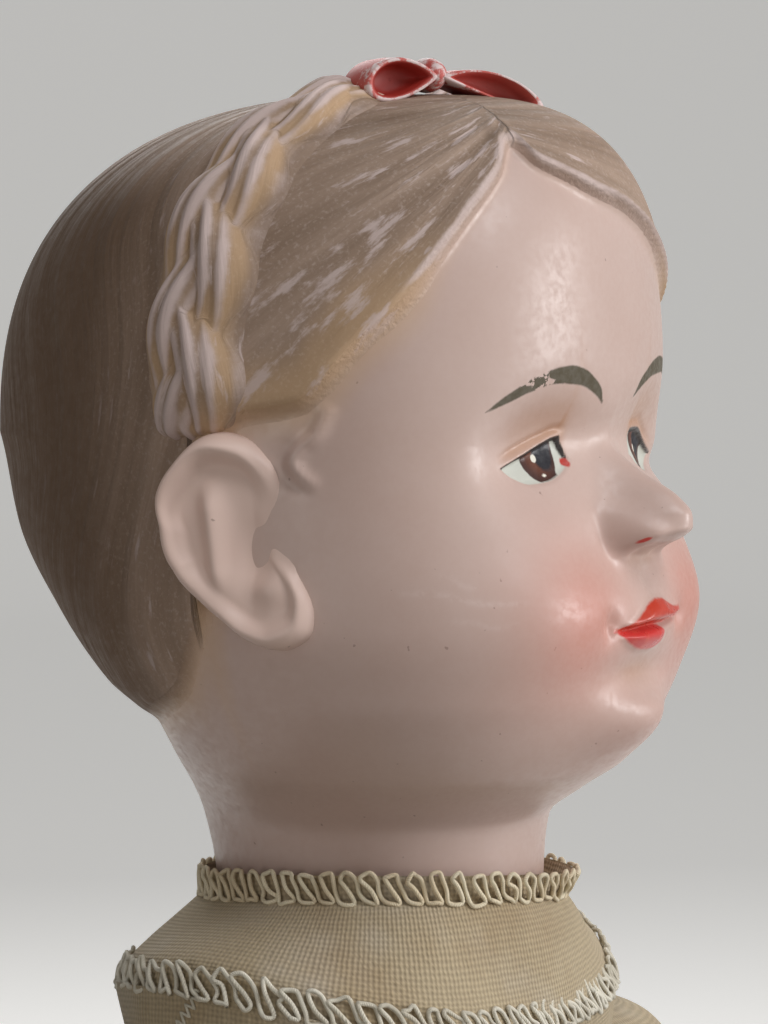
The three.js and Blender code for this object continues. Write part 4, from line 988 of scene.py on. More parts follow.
def lifted(points):  # the collar rides up on the seen side; the hem under it rises over the shoulders
    turn, z = np.arctan2(points[..., 0], -(points[..., 1] - middleY)), points[..., 2]
    share = 0.5 + 0.5 * np.cos(turn - np.radians(bodice["toCamera"]))
    degrees = np.degrees(np.abs(turn))
    hem = bodice["hemFront"] + bodice["hemShoulder"] * bell(degrees - 100, 45)
    hem = hem + bodice["hemBack"] * ease(110, 180, degrees)
    lift = hem * ease(210, 228, z) + (bodice["nearLift"] * share ** 2 - hem) * ease(229, 236.2, z)
    return points + lift[..., None] * upward


def bodiceFolds(turn, z):  # gathers under the yoke, a little rumpling, and the doubled placket down the back
    gather, rumple = creases(3, 7, 0.16, 0.05), creases(5, 6, 0.32)
    fromBack = (np.pi - np.abs(turn)) * 20
    placket = 0.6 * ease(bodice["placket"] + 0.6, bodice["placket"], fromBack)
    rumpled = rumple(turn, z) * (1 - ease(214, 226, z)) * ease(4.0, 9.0, fromBack)
    return gather(turn * 3, z) * ease(196, 226, z) + rumpled + placket


def makeBodice():  # rings from the waist to the yoke, and from the yoke's hem to the neck
    under, columns = ["torso_front", "torso_back"], bodice["columns"]
    points = ringLoft(np.linspace(*bodice["rows"]), bodice["levels"], columns, bodice["power"], bodiceFolds)
    putCloth(lifted(points), "bodiceCloth", "torso", "bodice", "gathered", under)
    soft = creases(8, 6, 0.2, 0.5)
    points = ringLoft(np.linspace(*bodice["yokeRows"]), bodice["yoke"], columns, bodice["yokePower"], soft)
    putCloth(lifted(points), "yokeCloth", "torso", "yoke", "stretched", under)


makeBodice()
print("bodice and yoke")

# one overlock stitch: share of the pitch along, share of the height, and how far it stands out
stitch = {
    "open": [(0.75, 0.03, 0.2), (0.42, 0.45, 0.35), (0.10, 0.80, 0.3), (0.24, 0.99, 0.2), (0.55, 1.0, 0.1),
             (0.74, 0.78, 0.2), (0.88, 0.4, 0.1), (1.05, 0.05, 0.2), (1.4, -0.02, 0.35)],
    "wide": [(0.75, 0.02, 0.3), (0.30, 0.5, 0.4), (-0.10, 0.86, 0.3), (0.12, 1.02, 0.2), (0.5, 0.92, 0.15),
             (0.8, 0.62, 0.2), (1.02, 0.3, 0.2), (1.18, 0.0, 0.3), (1.5, -0.06, 0.35)],
}
edging = {  # stitch, height, pitch, thread radius, unevenness
    "neck": ("open", 2.7, 2.1, 0.23, 0.5), "yoke": ("wide", 2.7, 2.2, 0.24, 0.8),
    "hem": ("open", 2.6, 2.4, 0.24, 0.6),
}


def smoothLoop(points, each):  # closed Catmull-Rom curve, with this many samples for each span
    t = np.linspace(0, 1, each, endpoint=False)[None, :, None]
    a, b, c, d = (np.roll(points, k, 0)[:, None] for k in (1, 0, -1, -2))
    square, cube = 2 * a - 5 * b + 4 * c - d, 3 * b - a - 3 * c + d
    curve = 0.5 * (2 * b + (c - a) * t + square * t ** 2 + cube * t ** 3)
    return curve.reshape(-1, points.shape[1])


def overlock(name, ring, kind, material, body, node, seed):
    # ring(turn share) gives a place on the hem, up and out directions; stitches follow it round
    pattern, height, pitch, radius, jitter = edging[kind]
    pattern = np.array(stitch[pattern])
    base = ring(np.linspace(0, 1, 400, endpoint=False))[0]
    total = np.linalg.norm(base - np.roll(base, 1, 0), axis=1).sum()
    count = int(round(total / pitch))
    rng = np.random.default_rng(seed)
    shake = rng.normal(0, jitter, (count, len(pattern), 3)) * np.array([0.10, 0.10, 0.12])
    knots = pattern[None] + shake + np.arange(count)[:, None, None] * np.array([1, 0, 0])
    knots, lap = knots.reshape(-1, 3), np.array([count, 0, 0])
    flat = smoothLoop(np.concatenate([knots[-2:] - lap, knots, knots[:2] + lap]), 4)[8:-12]
    at, up, out = ring(flat[:, 0] / count % 1.0)
    path = at + up * (flat[:, 1:2] * height) + out * (flat[:, 2:] + radius)
    points = tubePoints(path, radius, 6, out, closed=True)
    size = (2 * np.pi * radius, total * 3)
    thread = sheetPiece(name, points, material, body, wrapV=True, uvSize=size, turned=True)
    at, up, out = ring(np.linspace(0, 1, 300, endpoint=False))
    across = np.linspace(-0.15, 0.92, 6)[:, None, None]
    rise = np.sin(np.linspace(0.2, np.pi - 0.2, 6))[:, None, None]
    band = at + up * across * height + out * (0.12 * rise - 0.06)
    under = sheetPiece(name + "Hem", band, romper, body, uvSize=(total, height))
    for piece in (thread, under):
        fit(piece, "edging_thread", node)


def ringAt(levels, z, grow, tilt, flare=0.0):
    # the hem at a height; tilt leans the edging outwards from upright, flare leans it more near the front
    turns = around(720, -np.pi)
    fine = lifted(loftAt(levels, turns, np.full(720, float(z)), bodice["yokePower"]))

    def at(share):
        turn = (share * 2 - 1) * np.pi
        place = np.stack([np.interp(turn, turns, fine[:, k], period=2 * np.pi) for k in range(3)], -1)
        out = outward(place, bodyAxis)
        lean = (tilt + flare * bell(turn - 0.5, 0.7))[:, None]
        up = upward * np.cos(lean) + out * np.sin(lean)
        return place + out * grow, up, out * np.cos(lean) - upward * np.sin(lean)

    return at


neckRing = ringAt(bodice["yoke"], bodice["neckHem"], -0.1, 0.02, 0.5)
yokeRing = ringAt(bodice["levels"], bodice["yokeHem"], 0.1, -0.3)
overlock("neckEdging", neckRing, "neck", collarThread, "torso", "neck_edging", 11)
overlock("yokeEdging", yokeRing, "yoke", whiteThread, "torso", "yoke_edging", 12)
print("collar edgings")

raglan = {
    "start": (3.6, 227.4), "end": (11.5, 216.5), "stitches": 15, "wide": 0.55, "radius": 0.14, "off": 0.1,
}


def makeRaglan(side, word):
    # a zigzag of thread over the seam behind each arm: a triangle wave square to the seam's line
    share = np.linspace(0, 1, raglan["stitches"] * 12 + 1)
    start = np.array(raglan["start"])
    along = np.array(raglan["end"]) - start
    square = unit(np.array([-along[1], along[0]]))
    swing = raglan["wide"] * 2 / np.pi * np.arcsin(np.sin(2 * np.pi * raglan["stitches"] * share))
    y, z = (start + along * share[:, None] + square * swing[:, None]).T
    sizes = (run(z) for run in columnRuns(bodice["levels"], (1, 2, 3)))
    x = side * ovalWidth(y, *sizes, bodice["power"], 0)
    path = loftAt(bodice["levels"], np.arctan2(x, -y), z, bodice["power"], bodiceFolds)
    out = outward(path, bodyAxis)
    points = tubePoints(lifted(path) + out * raglan["off"], raglan["radius"], 8, out)
    piece = sheetPiece(word + "RaglanSeam", points, whiteThread, "torso", uvSize=(1, 30), caps=(0, -1),
                       turned=True)
    fit(piece, "edging_thread", "bodice")


# Limbs

arm = {
    "jointX": 30.7, "top": 12.2, "long": 94.6, "cuff": -30.2, "sleeveEnds": (-30, 13, 14),
    "levels": [  # height over the shoulder, half width, front, back, mm out from the joint's face, y
        (12.2, 1.5, 1.5, 1.5, 7.6, 0), (10, 7, 8, 8, 7.6, 0), (6, 9.6, 10.5, 10.5, 7.6, 0),
        (0, 10.4, 11.4, 11.4, 8.1, 0), (-11, 9.8, 10.6, 10.6, 9.6, 0.3), (-23, 8.8, 9.4, 9.4, 11.6, 0.3),
        (-35, 8.4, 8.8, 8.8, 14.1, -1), (-47, 8, 8.4, 8.4, 16.6, -4), (-57, 6.4, 6.8, 6.8, 18.6, -7),
        (-64, 5.2, 5.8, 5.8, 19.8, -9), (-71, 4.6, 7.4, 7.4, 20.6, -11), (-78, 4.2, 8.4, 8.4, 21.1, -12.8),
        (-81, 3, 6.5, 6.5, 21.3, -13.4), (-82.4, 0.6, 2, 2, 21.3, -13.6)],
    "sleeve": [
        (14, 0.3, 0.3, 0.3, 8, 0), (13.6, 4, 4.4, 4.4, 8.1, 0), (13, 6.4, 7.2, 7.2, 8.2, 0),
        (11, 9.6, 10.6, 10.6, 8.5, 0), (4, 13.2, 14.2, 14.2, 9.4, 0), (-7, 14.6, 15.4, 15.4, 10.9, 0),
        (-17, 14, 14.8, 14.8, 12, 0.2), (-25, 11.8, 12.6, 12.6, 12.6, 0), (-30, 10.4, 11, 11, 13, -0.4)],
    "palm": (21.2, -13.2, -78), "fingers": (-9, -11.5, -12, -10), "fingerRadius": 1.85, "thumbRadius": 2.0,
}
leg = {
    "jointX": 10.0, "footX": 21, "cuff": 94.8, "sock": (12, 41.8, 60), "sockThick": 0.8, "sockUv": (55, 30),
    "levels": [  # height, half width, front, back, mm out from the joint's face, y
        (157.4, 1.5, 1.5, 1.5, 13, 0.5), (155, 9, 9.5, 9.5, 13, 0.5), (150, 13, 13.8, 13.8, 13, 0.5),
        (142, 15, 16, 16, 13.2, 0.5), (128, 14.8, 16, 16, 12.8, 0.4), (108, 13.2, 14.2, 14.2, 12, 0.2),
        (90, 11.8, 12.4, 12.4, 11.6, 0), (80, 11.8, 12.2, 12.2, 11.5, 0), (70, 11, 11.4, 11.4, 11.4, 2),
        (56, 10.8, 11.8, 11.8, 11.2, 4), (38, 8.8, 9.4, 9.4, 11, 4), (26, 7.6, 8.2, 8.2, 11, 4),
        (14, 7.6, 8.2, 8.2, 11, 4)],
    "bloomer": [
        (160.6, 2, 2, 2, 13.3, 0.5), (159.4, 7, 8, 8, 13.4, 0.5), (157, 11.8, 12.8, 12.8, 13.5, 0.5),
        (150, 16.8, 18, 18, 14, 0.5), (138, 18.4, 19.2, 19.2, 14.2, 0.4), (122, 18.2, 19, 19, 14, 0.3),
        (107, 16.6, 17.2, 17.2, 13.2, 0.2), (100, 14, 14.6, 14.6, 12.6, 0.1),
        (95, 13.2, 13.8, 13.8, 12.2, 0)],
    "foot": [  # from heel to toe: y, middle height, half width, half height
        (15.5, 8.5, 1.5, 1.5), (14.8, 9.2, 3.8, 3.2), (13.5, 10, 5.8, 5), (7, 11.5, 8, 7),
        (-2, 11.6, 8.6, 7.1), (-10, 10.8, 9, 6.1), (-18, 9.6, 9, 4.9), (-24, 9, 7, 4), (-26.8, 8.8, 3.6, 2.4),
        (-27.5, 8.8, 1.2, 1.2)],
}


def placed(rows, jointX, up=0.0, grow=0.0):  # levels moved up and out to a joint's face, and grown
    return [(z + up, wide + grow, front + grow, back + grow, x + jointX, y)
            for z, wide, front, back, x, y in rows]


def onFace(points, jointX, side):  # cut flat at the joint's face and mirrored for the right side
    return flipped(np.maximum(points, [jointX, -np.inf, -np.inf]), side)


def capsule(start, end, radius):
    # a rounded finger: radius falls as sqrt(1 - t^2) at each end
    along, reach = unit(end - start), np.linalg.norm(end - start)
    t = np.cos(np.linspace(np.pi, 0, 26))
    place = np.concatenate([t[t < 0] * radius, reach + t[t >= 0] * radius])
    past = np.where(place < 0, place, np.maximum(place - reach, 0)) / radius
    size = radius * np.sqrt(np.clip(1 - past ** 2, 1e-4, 1))
    return tubePoints(start + along * place[:, None], size, 20, np.array([0.9, 0.1, 0.2]))


def makeArm(side, word):
    # rings from palm to shoulder, close together at both ends, and a capsule for each finger
    jointX, top, body = arm["jointX"], shoulderZ, word + "_arm"
    heights = top + arm["top"] - arm["long"] * (1 - np.cos(np.linspace(0, np.pi, 150))) / 2
    points = onFace(ringLoft(heights[::-1], placed(arm["levels"], jointX, top), 72), jointX, side)
    pieces = [sheetPiece(word + "Arm", points, plainSkin, body, caps=(0, -1), turned=side < 0)]
    palm = np.array(arm["palm"]) + [jointX, middleY, top]
    digits = [(palm + [0, -5.6 + 3.8 * k, 0.5], palm + [-1.6, -8.1 + 4.6 * k, reach], arm["fingerRadius"])
              for k, reach in enumerate(arm["fingers"])]
    digits.append((palm + [-1, -5.2, 6], palm + [-3.5, -10.4, -1], arm["thumbRadius"]))
    for k, digit in enumerate(digits):
        points = flipped(capsule(*digit), side)
        name = "%sFinger%d" % (word, k)
        pieces.append(sheetPiece(name, points, plainSkin, body, caps=(0, -1), turned=side > 0))
    for piece in pieces:
        fit(piece, "composition", word + "_arm")
    makeSleeve(side, word, body)


def makeSleeve(side, word, body):
    # rings down the upper arm, gathered at cuff and shoulder, open where they meet the joint's face
    top, outer = shoulderZ, arm["jointX"] + 0.6
    gather, rumple = creases(21, 6, 0.32, 0.05), creases(22, 6, 0.36)

    def folds(turn, z):
        gathered = ease(top - 12, top - 30, z) + 0.6 * ease(top + 2, top + 13, z)
        return (gather(turn * 3, z) * gathered + rumple(turn, z)) * ease(top + 14, top + 8, z)

    levels = placed(arm["sleeve"], arm["jointX"], top)
    cuff, shoulder, crest = arm["sleeveEnds"]
    heights = np.concatenate([np.linspace(cuff, shoulder, 86), np.linspace(shoulder + 0.2, crest, 8)])
    points = ringLoft(top + heights, levels, 200, folds=folds)
    flat = onFace(points, outer, side)
    putCloth(flat, word + "Sleeve", body, word + "_sleeve", "gathered", [word + "_arm"],
             turned=side < 0, keep=points[..., 0] > outer, caps=(-1,))
    makeArmhole(side, word, levels)
    ring = hemRing(levels, top + arm["cuff"], np.array([arm["jointX"] + 13, -0.4 + middleY, 0]), side)
    overlock(word + "SleeveEdging", ring, "hem", whiteThread, body, word + "_sleeve_edging", 31)


def makeArmhole(side, word, levels):
    # gathered cloth from the bodice's side out to the sleeve: rings round the shoulder's axis
    top, jointX = shoulderZ, arm["jointX"]
    outer = jointX + 2.2
    turn = around(160)
    reach = np.linspace(1, 30, 600)[:, None]
    y, z = reach * np.sin(turn), top + reach * np.cos(turn)
    width, depth, x0, y0 = (run(z) for run in columnRuns(levels, (1, 2, 4, 5)))
    covered = (np.abs(y - y0) < depth) & (z < top + 13.9) & (z > top - 29)
    inner = x0 - width * np.sqrt(np.clip(1 - ((y - y0) / depth) ** 2, 0, 1))
    radius = smoothRing(np.where(covered & (inner < outer), reach, 0).max(0), 8)
    share = np.linspace(0, 1, 26)[:, None]
    gathers = 0.006 * np.sin(24 * turn) * np.sin(np.pi * share)
    size = radius * (0.93 + 0.09 * np.sin(np.pi * share * 0.9) + gathers)
    y, z = size * np.sin(turn), top + size * np.cos(turn)
    sizes = (run(np.minimum(z, 226.5)) for run in columnRuns(bodice["levels"], (1, 2, 3)))
    chest = ovalWidth(y, *sizes, bodice["power"], 0.05) - 0.4
    x = chest * (1 - share) + (outer + 0.3) * share
    points = grid(x * side, y + middleY, z)
    node = word + "_sleeve"
    piece = putCloth(points, word + "Armhole", None, node, "gathered", [word + "_arm"], turned=side > 0)
    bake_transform(piece)


def hemRing(levels, z, centre, side):
    # a hem that hangs down from a height, round its own centre
    fine = ringLoft([z], levels, 720)[0]
    count = np.linspace(0, 1, 720, endpoint=False)

    def at(share):
        share = share if side > 0 else 1 - share
        place = np.stack([np.interp(share, count, fine[:, k], period=1) for k in range(3)], -1)
        out = flipped(outward(place, centre), side)
        return flipped(place, side) - out * 0.3, np.broadcast_to(-upward, place.shape), out

    return at


def footLoft(grow):
    # sections from heel to toe: ellipses of half width and half height, turn 0 underneath
    y, z0, half, tall = alongRows(leg["foot"], np.linspace(0, 1, 70)[:, None])
    turn = around(48)[None]
    longer = np.linspace(grow, -grow, 70)[:, None]
    x, z = leg["footX"] + (half + grow) * np.sin(turn), z0 - (tall + grow) * np.cos(turn)
    return grid(x, y + longer + middleY, z)


seat = {
    "front": [(-25.5, 165), (-24.5, 152), (-22, 138), (-19, 129)],  # y, height
    "under": [(-13.6, 124), (0, 124), (14.6, 124)],
    "back": [(20, 129), (23, 138), (23.5, 152), (21.5, 165)],
    "half": 9.2, "waistHalf": 15.2, "round": 32.0, "outside": 1.0, "seamOutside": 1.6, "overlap": 1.9,
}


def seatCurve(share, grow):  # from the front waist under the crotch to the back waist, grown outwards
    front, back = ([(y + np.sign(y) * grow, z) for y, z in seat[part]] for part in ("front", "back"))
    knots = np.array(front + [(y, z - grow) for y, z in seat["under"]] + back)
    length = lengthsAlong(knots)
    y, z = (through(list(zip(length / length[-1], column)))(share) for column in knots.T)
    return y + middleY, z


def overSeat(points):  # near the centre seams the cloth lies outside the seat band, a smooth share of the way
    x, y, z = points[..., 0], points[..., 1] - middleY, points[..., 2]
    parts = (seat["front"] + seat["under"][:1], seat["back"] + seat["under"][-1:])
    front, back = (through(sorted((z, y) for y, z in part)) for part in parts)
    cover = np.where(y < 0, front(z) - seat["overlap"], back(z) + seat["overlap"])
    moved = y + ease(25, 9, np.abs(x)) * ease(113, 123, z) * (cover - y)
    return grid(x, np.where(y < 0, np.minimum(y, moved), np.maximum(y, moved)) + middleY, z)


def makeBloomer(side, word, levels):
    # one trouser leg: its top edge is half the waist and half the crotch seam, its foot the gathered hem
    degrees = np.linspace(-30, 330, 240, endpoint=False)
    turn = np.radians(degrees)
    waistTurn = np.radians(0.5 + (degrees + 30) / 240 * 179)
    waist = loftAt(bodice["levels"], waistTurn, np.full(len(turn), 165.0), bodice["power"])
    seam = grid(0.25, *seatCurve(np.clip(1 - (degrees - 210) / 120, 0, 1), seat["seamOutside"]))
    top = smoothRing(np.where(degrees[:, None] < 210, waist, seam), 6)
    down = np.linspace(0, 1, 110)[:, None]
    start = np.minimum(154.0, top[:, 2] - 3)
    gather, rumple = creases(41, 6, 0.4, 0.04), creases(42, 7, 0.5)

    def folds(turn, z):
        return gather(turn * 3, z) * ease(118, 97, z) + rumple(turn, z)

    tube = loftAt(levels, turn[None], start + (95 - start) * down, folds=folds)
    tube[..., 0] = np.maximum(tube[..., 0], leg["jointX"] - 0.3)
    share = ease(0, 0.62, down)[..., None]
    points = flipped(overSeat(top[None] * (1 - share) + tube * share)[::-1], side)
    node = word + "_bloomer"
    piece = putCloth(points, word + "Bloomer", None, node, "gathered", [word + "_leg"], turned=side < 0)
    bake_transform(piece)


def makeLeg(side, word):
    # rings from ankle to hip with a rounded top, a foot, and the same grown a little as a sock
    jointX, body = leg["jointX"], word + "_leg"
    dome = 150 + 7.3 * np.sin(np.linspace(0, np.pi / 2, 24))[1:]
    heights = np.concatenate([np.linspace(13, 150, 120), dome])
    shank = onFace(ringLoft(heights, placed(leg["levels"], jointX), 72), jointX, side)
    for name, points in (("Leg", shank), ("Foot", flipped(footLoft(0), side))):
        piece = sheetPiece(word + name, points, plainSkin, body, caps=(0, -1), turned=side < 0)
        fit(piece, "composition", word + "_leg")
    bloomer = placed(leg["bloomer"], jointX)
    makeBloomer(side, word, bloomer)
    ring = hemRing(bloomer, leg["cuff"], np.array([jointX + 12.2, middleY, 0]), side)
    overlock(word + "BloomerEdging", ring, "hem", whiteThread, body, word + "_bloomer_edging", 32)
    sock = ringLoft(np.linspace(*leg["sock"]), placed(leg["levels"], jointX, grow=leg["sockThick"]), 96)
    knit = {"uvSize": leg["sockUv"], "turned": side < 0}
    ankle = sheetPiece(word + "SockLeg", flipped(sock, side), sockKnit, body, **knit)
    foot = flipped(footLoft(leg["sockThick"]), side)
    toes = sheetPiece(word + "SockFoot", foot, sockKnit, body, caps=(0, -1), **knit)
    for piece in (ankle, toes):
        fit(piece, "sock_knit", word + "_sock")
    makeShoe(side, word, body)


def plainMaterial(name, colour, roughness, metallic=0.0, grain=0.0, scale=600.0):
    # one colour, darker in soft spots that are also its grain
    material, w, shader = newMaterial(name)
    spots = w.noise(w.objectAt(), scale, 4.0)
    dark = tuple(v * 0.6 for v in colour[:3]) + (1.0,)
    colour = w.mix(w.span(spots, 0.3, 0.7), dark, colour)
    w.join(shader, Base_Color=colour, Roughness=roughness, Metallic=metallic)
    if grain:
        w.join(shader, Normal=w.bump(spots, grain, 0.7))
    return material


shoeLeather = plainMaterial("shoeLeather", rgb(104, 34, 28), 0.42, grain=0.00005, scale=900.0)
soleLeather = plainMaterial("soleLeather", rgb(132, 100, 66), 0.8, grain=0.00006)
shellButton = plainMaterial("shellButton", rgb(226, 218, 200), 0.3, scale=250.0)

shoe = {
    "sections": [  # from heel to toe: y, middle height, half width, half height
        (17.9, 9, 0.3, 0.3), (17.4, 9.2, 3.4, 3.2), (16, 9.9, 6.3, 5.6), (13.5, 10.6, 8, 7),
        (7, 11.5, 10.2, 9), (-2, 11.6, 10.8, 9.1), (-10, 10.8, 11.2, 8.1), (-18, 9.6, 11.2, 6.9),
        (-24, 9, 9.4, 6), (-27.6, 8.8, 6.2, 4.8), (-29.3, 8.7, 3.2, 3), (-29.9, 8.7, 0.3, 0.3)],
    "mouth": 13.5, "floor": 2.9, "binding": 0.45, "strap": (-10.6, -6.6), "strapSwing": 1.95,
    "solePlan": 0.96,
    "soleRings": [(0.94, 0.0), (0.985, 0.15), (1, 0.6), (1, 2.4), (0.985, 2.9), (0.94, 3.0)],  # share, height
}


def makeShoe(side, word, body):
    # the upper: sections run up to the mouth's height behind the instep and close over the toes
    y, z0, half, tall = alongRows(shoe["sections"], np.linspace(0, 1, 110)[:, None])
    closing = ease(-13.0, -17.0, y)
    limit = np.arccos(np.clip(-(shoe["mouth"] - z0) / tall, -1, 1))
    turn = np.linspace(-1, 1, 72)[None] * (limit + (np.pi - limit) * closing)
    x, z = leg["footX"] + half * np.sin(turn), np.maximum(z0 - tall * np.cos(turn), shoe["floor"])
    upper = flipped(grid(x, y + middleY, z), side)
    isOpen = (closing[:, 0] < 0.6) & (limit[:, 0] < 3.0)
    edge = np.concatenate([upper[isOpen][:, 0], upper[isOpen][::-1, -1]])
    binding = tubePoints(edge, shoe["binding"], 8, upward, closed=True)
    pieces = [sheetPiece(word + "ShoeUpper", upper, shoeLeather, body, wrapU=False, turned=side < 0),
              sheetPiece(word + "ShoeBinding", binding, shoeLeather, body, wrapV=True, turned=True)]
    for piece in pieces:
        fit(piece, "shoe_leather", word + "_shoe_upper")
    makeStrap(side, word, body)
    makeSole(side, word, body)
    low, high = (np.array(v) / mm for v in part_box(word + "_strap_button"))
    axis = np.array([side, 0, 0])
    piece = discPiece(word + "StrapButton", (low + high) / 2, axis, 2.0, 1.2, shellButton, body)
    fit(piece, "button", word + "_strap_button")


def makeStrap(side, word, body):  # an arch over the instep with a crowned section
    at = np.linspace(*shoe["strap"], 12)
    places, *columns = np.array(shoe["sections"]).T
    z0, half, tall = (np.interp(-at, -places, column)[:, None] for column in columns)
    swing = np.linspace(-1, 1, 80)[None] * shoe["strapSwing"]
    crown = 0.25 + 0.35 * np.sqrt(np.clip(1 - np.linspace(-1, 1, 12) ** 2, 0, 1))[:, None]
    x, z = leg["footX"] + (half + crown) * np.sin(swing), z0 + (tall + crown) * np.cos(swing)
    points = flipped(grid(x, at[:, None] + middleY, z), side)
    piece = sheetPiece(word + "Strap", points, shoeLeather, body, wrapU=False, turned=side > 0)
    fit(piece, "shoe_leather", word + "_shoe_strap")


def makeSole(side, word, body):  # the upper's plan with rounded edges
    y, _, half, _ = alongRows(shoe["sections"], (1 - np.cos(np.linspace(0, np.pi, 90))) / 2)
    outer, inner = (grid(leg["footX"] + way * half * shoe["solePlan"], y) for way in (1, -1))
    plan = np.concatenate([outer, inner[::-1]])
    middle = plan.mean(0)
    rings = [np.c_[middle + (plan - middle) * share, np.full(len(plan), z)] for share, z in shoe["soleRings"]]
    points = flipped(np.array(rings) + bodyAxis, side)
    piece = sheetPiece(word + "Sole", points, soleLeather, body, caps=(0, -1), turned=side > 0)
    fit(piece, "sole_leather", word + "_shoe_sole")


def discPiece(name, centre, axis, radius, thick, material, body):
    # a turned button: a profile with a rim and a dished face, as shares of radius and thickness, spun round
    profile = np.array([(0.02, -0.5), (0.9, -0.5), (1.0, -0.3), (1.0, 0.2), (0.94, 0.45), (0.82, 0.5),
                        (0.7, 0.3), (0.4, 0.22), (0.02, 0.22)])
    turn = around(48)[:, None]
    ring = np.cos(turn) * upward + np.sin(turn) * np.cross(axis, upward)
    points = centre + radius * profile[:, :1, None] * ring[None] + thick * profile[:, 1:, None] * axis
    return sheetPiece(name, points, material, body, caps=(0, -1))


for side, word in sides:
    makeRaglan(side, word)
    makeArm(side, word)
    makeLeg(side, word)
print("limbs, sleeves, bloomers, socks and shoes")


def makeButton(place):  # a back button with a thread shank under it and two stitches over it
    node, name = "back_button_" + place, "button" + place.title()
    low, high = (np.array(v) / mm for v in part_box(node))
    middle = (low + high) / 2
    fit(discPiece(name, middle, np.array([0, 1, 0]), 3.0, 1.6, shellButton, "torso"), "button", node)
    shank = middle + np.linspace(-2.4, -0.2, 8)[:, None] * np.array([0, 1, 0])
    threads = [tubePoints(shank, 0.8, 16, upward)]
    rise = np.linspace(-1, 1, 16)
    for x in (-0.5, 0.5):
        over = middle + grid(x, 0.55 - 0.3 * rise ** 2, rise)
        threads.append(tubePoints(over, 0.22, 8, np.array([1.0, 0.0, 0.0])))
    for k, points in enumerate(threads):
        piece = sheetPiece("%sThread%d" % (name, k), points, whiteThread, "torso", caps=(0, -1), turned=True)
        fit(piece, "edging_thread", node)


for place in ("upper", "middle", "lower"):
    makeButton(place)
print("back buttons")


def makeSeat():
    # the crotch piece: the path from front waist to back waist carried across, wider and rounded at the waist
    y, z = (run[:, None] for run in seatCurve(np.linspace(0, 1, 120), seat["outside"]))
    half = seat["half"] + (seat["waistHalf"] - seat["half"]) * ease(148, 163, z)
    across = np.linspace(-1, 1, 50)[None] * half
    bend = (1 - (np.abs(across) / seat["round"]) ** bodice["power"]) ** (1 / bodice["power"])
    points = grid(across, (y - middleY) * bend + middleY, z)
    putCloth(points, "seat", "torso", "seat_band", "stretched", ["torso_front"], wrap=False, turned=True)


makeSeat()
print("seat")

# the pieces inside keep their CAD shapes
hookNodes = ["neck_hook"] + [word + hook for word in ("left", "right") for hook in ("_arm_hook", "_leg_hook")]
hiddenPieces = [
    (plainMaterial("dowelWood", rgb(181, 138, 86), 0.7), ["neck_bar"]),
    (plainMaterial("steelWire", rgb(150, 152, 156), 0.35, 0.9), hookNodes),
    (plainMaterial("elasticCord", rgb(226, 220, 204), 0.9), ["arm_elastic", "leg_elastic"]),
    (plainSkin, ["torso_front", "torso_back"]),
]
for material, names in hiddenPieces:
    for name in names:
        frame["nodes"][name].data.materials.clear()
        frame["nodes"][name].data.materials.append(material)


# Stage

view = {"azimuth": -60.0, "elevation": 4.0, "distance": 380.0, "target": (0.2, 0.0, 37.0), "lens": 133.6}
lamps = [  # name, azimuth, elevation, size, power, colour
    ("key", 26, 5, 0.45, 7.0, (1.0, 0.98, 0.98)), ("fill", -38, 0, 0.8, 1.5, (1.0, 0.95, 0.90)),
    ("top", -14, 55, 0.5, 4.4, (0.98, 0.98, 1.0)), ("gloss", -3, 36, 0.2, 1.8, (0.96, 0.97, 1.0)),
    ("rim", 128, 30, 0.6, 5.0, (1.0, 1.0, 1.0)), ("side", -100, 6, 0.5, 1.6, (1.0, 0.96, 0.92)),
]
room = {
    "world": (0.90, 0.86, 0.82, 1), "worldPower": 0.16, "lampDistance": 1.1,
    "floorUnlit": (0.22, 0.21, 0.2, 1), "floorSeen": (0.8, 0.79, 0.77, 1), "glow": (0.95, 0.95, 0.93, 1),
    "glowPower": 0.4, "flat": 2600, "curve": 900, "wall": 2200,
}


def towards(azimuth, elevation):  # direction from the doll to a place round it
    a, e = np.radians(azimuth), np.radians(elevation)
    return np.array([np.sin(a) * np.cos(e), -np.cos(a) * np.cos(e), np.sin(e)])


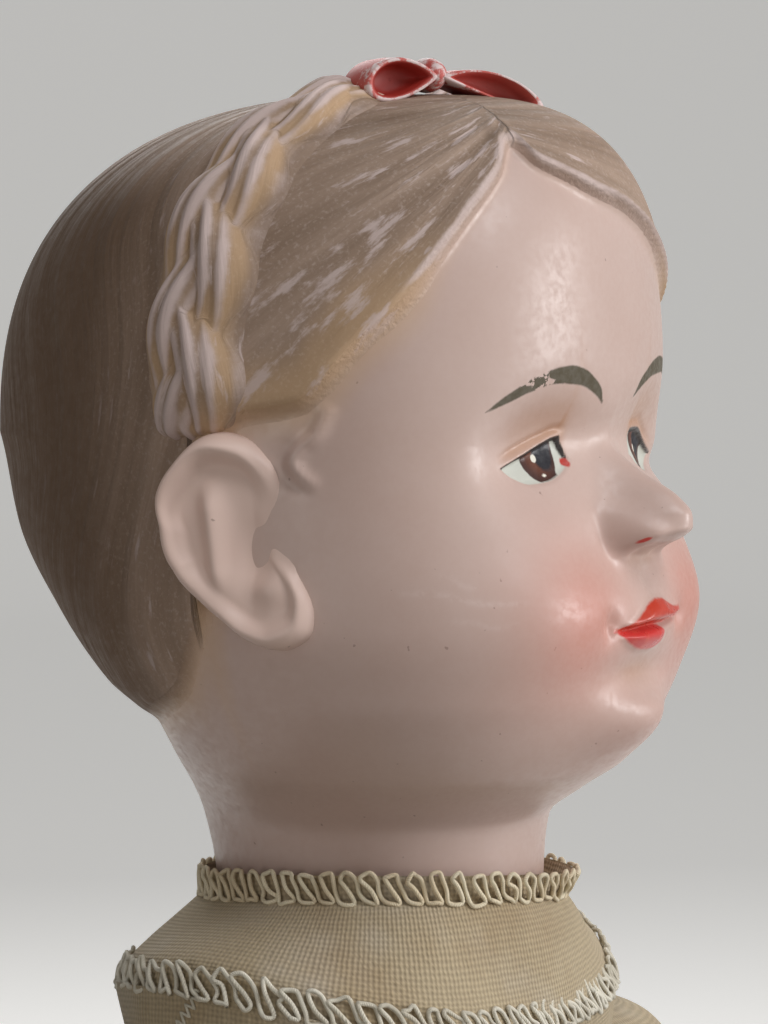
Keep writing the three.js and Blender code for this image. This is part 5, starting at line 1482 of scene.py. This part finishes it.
def putLooking(name, data, place, direction):  # a camera or lamp whose back is turned in a direction
    thing = bpy.data.objects.new(name, data)
    thing.location = place
    thing.rotation_euler = Vector(direction).to_track_quat("Z", "Y").to_euler()
    bpy.context.scene.collection.objects.link(thing)
    return thing


def makeLights():  # the photograph's camera, lamps round the doll and a dim world
    target = neckAt + np.array(view["target"])
    back = towards(view["azimuth"], view["elevation"])
    data = bpy.data.cameras.new("photoView")
    data.lens, data.sensor_width, data.clip_start = view["lens"], 36, 0.01
    bpy.context.scene.camera = putLooking("photoView", data, (target + back * view["distance"]) * mm, back)
    for name, azimuth, elevation, size, power, colour in lamps:
        data = bpy.data.lights.new(name, "AREA")
        data.size, data.energy, data.color = size, power, colour
        back = towards(azimuth, elevation)
        putLooking(name, data, target * mm + room["lampDistance"] * back, back)
    world = bpy.context.scene.world or bpy.data.worlds.new("studio")
    bpy.context.scene.world = world
    world.use_nodes = True
    background = world.node_tree.nodes["Background"]
    Wires(world.node_tree).join(background, n0=room["world"], n1=room["worldPower"])


def floorMaterial():  # bright to the camera and in reflections, dim as a source of light
    material, w, shader = newMaterial("paleFloor")
    rays = w.add("ShaderNodeLightPath").outputs
    seen = w.math("MAXIMUM", rays["Is Camera Ray"], rays["Is Glossy Ray"])
    seen = w.math("MAXIMUM", seen, rays["Is Transmission Ray"])
    w.join(shader, Base_Color=w.mix(seen, room["floorUnlit"], room["floorSeen"]), Roughness=0.9,
           Emission_Color=room["glow"], Emission_Strength=w.math("MULTIPLY", seen, room["glowPower"]))
    return material


def makeFloor():  # a round floor whose edge curves up into a wall
    s = np.linspace(0, 1, 60)[:, None]
    bend = (s - 0.5) * np.pi
    reach = 20 + np.where(s < 0.5, s * 2 * room["flat"], room["flat"] + room["curve"] * np.sin(bend))
    lift = np.where(s < 0.5, 0, room["wall"] * (1 - np.cos(bend)))
    turn = around(96)[None]
    points = grid(reach * np.cos(turn), reach * np.sin(turn), lift)
    sheetPiece("floor", points, floorMaterial(), None, caps=(0,))


makeLights()
makeFloor()
print("stage")
bpy.context.scene.view_settings.view_transform = "Standard"
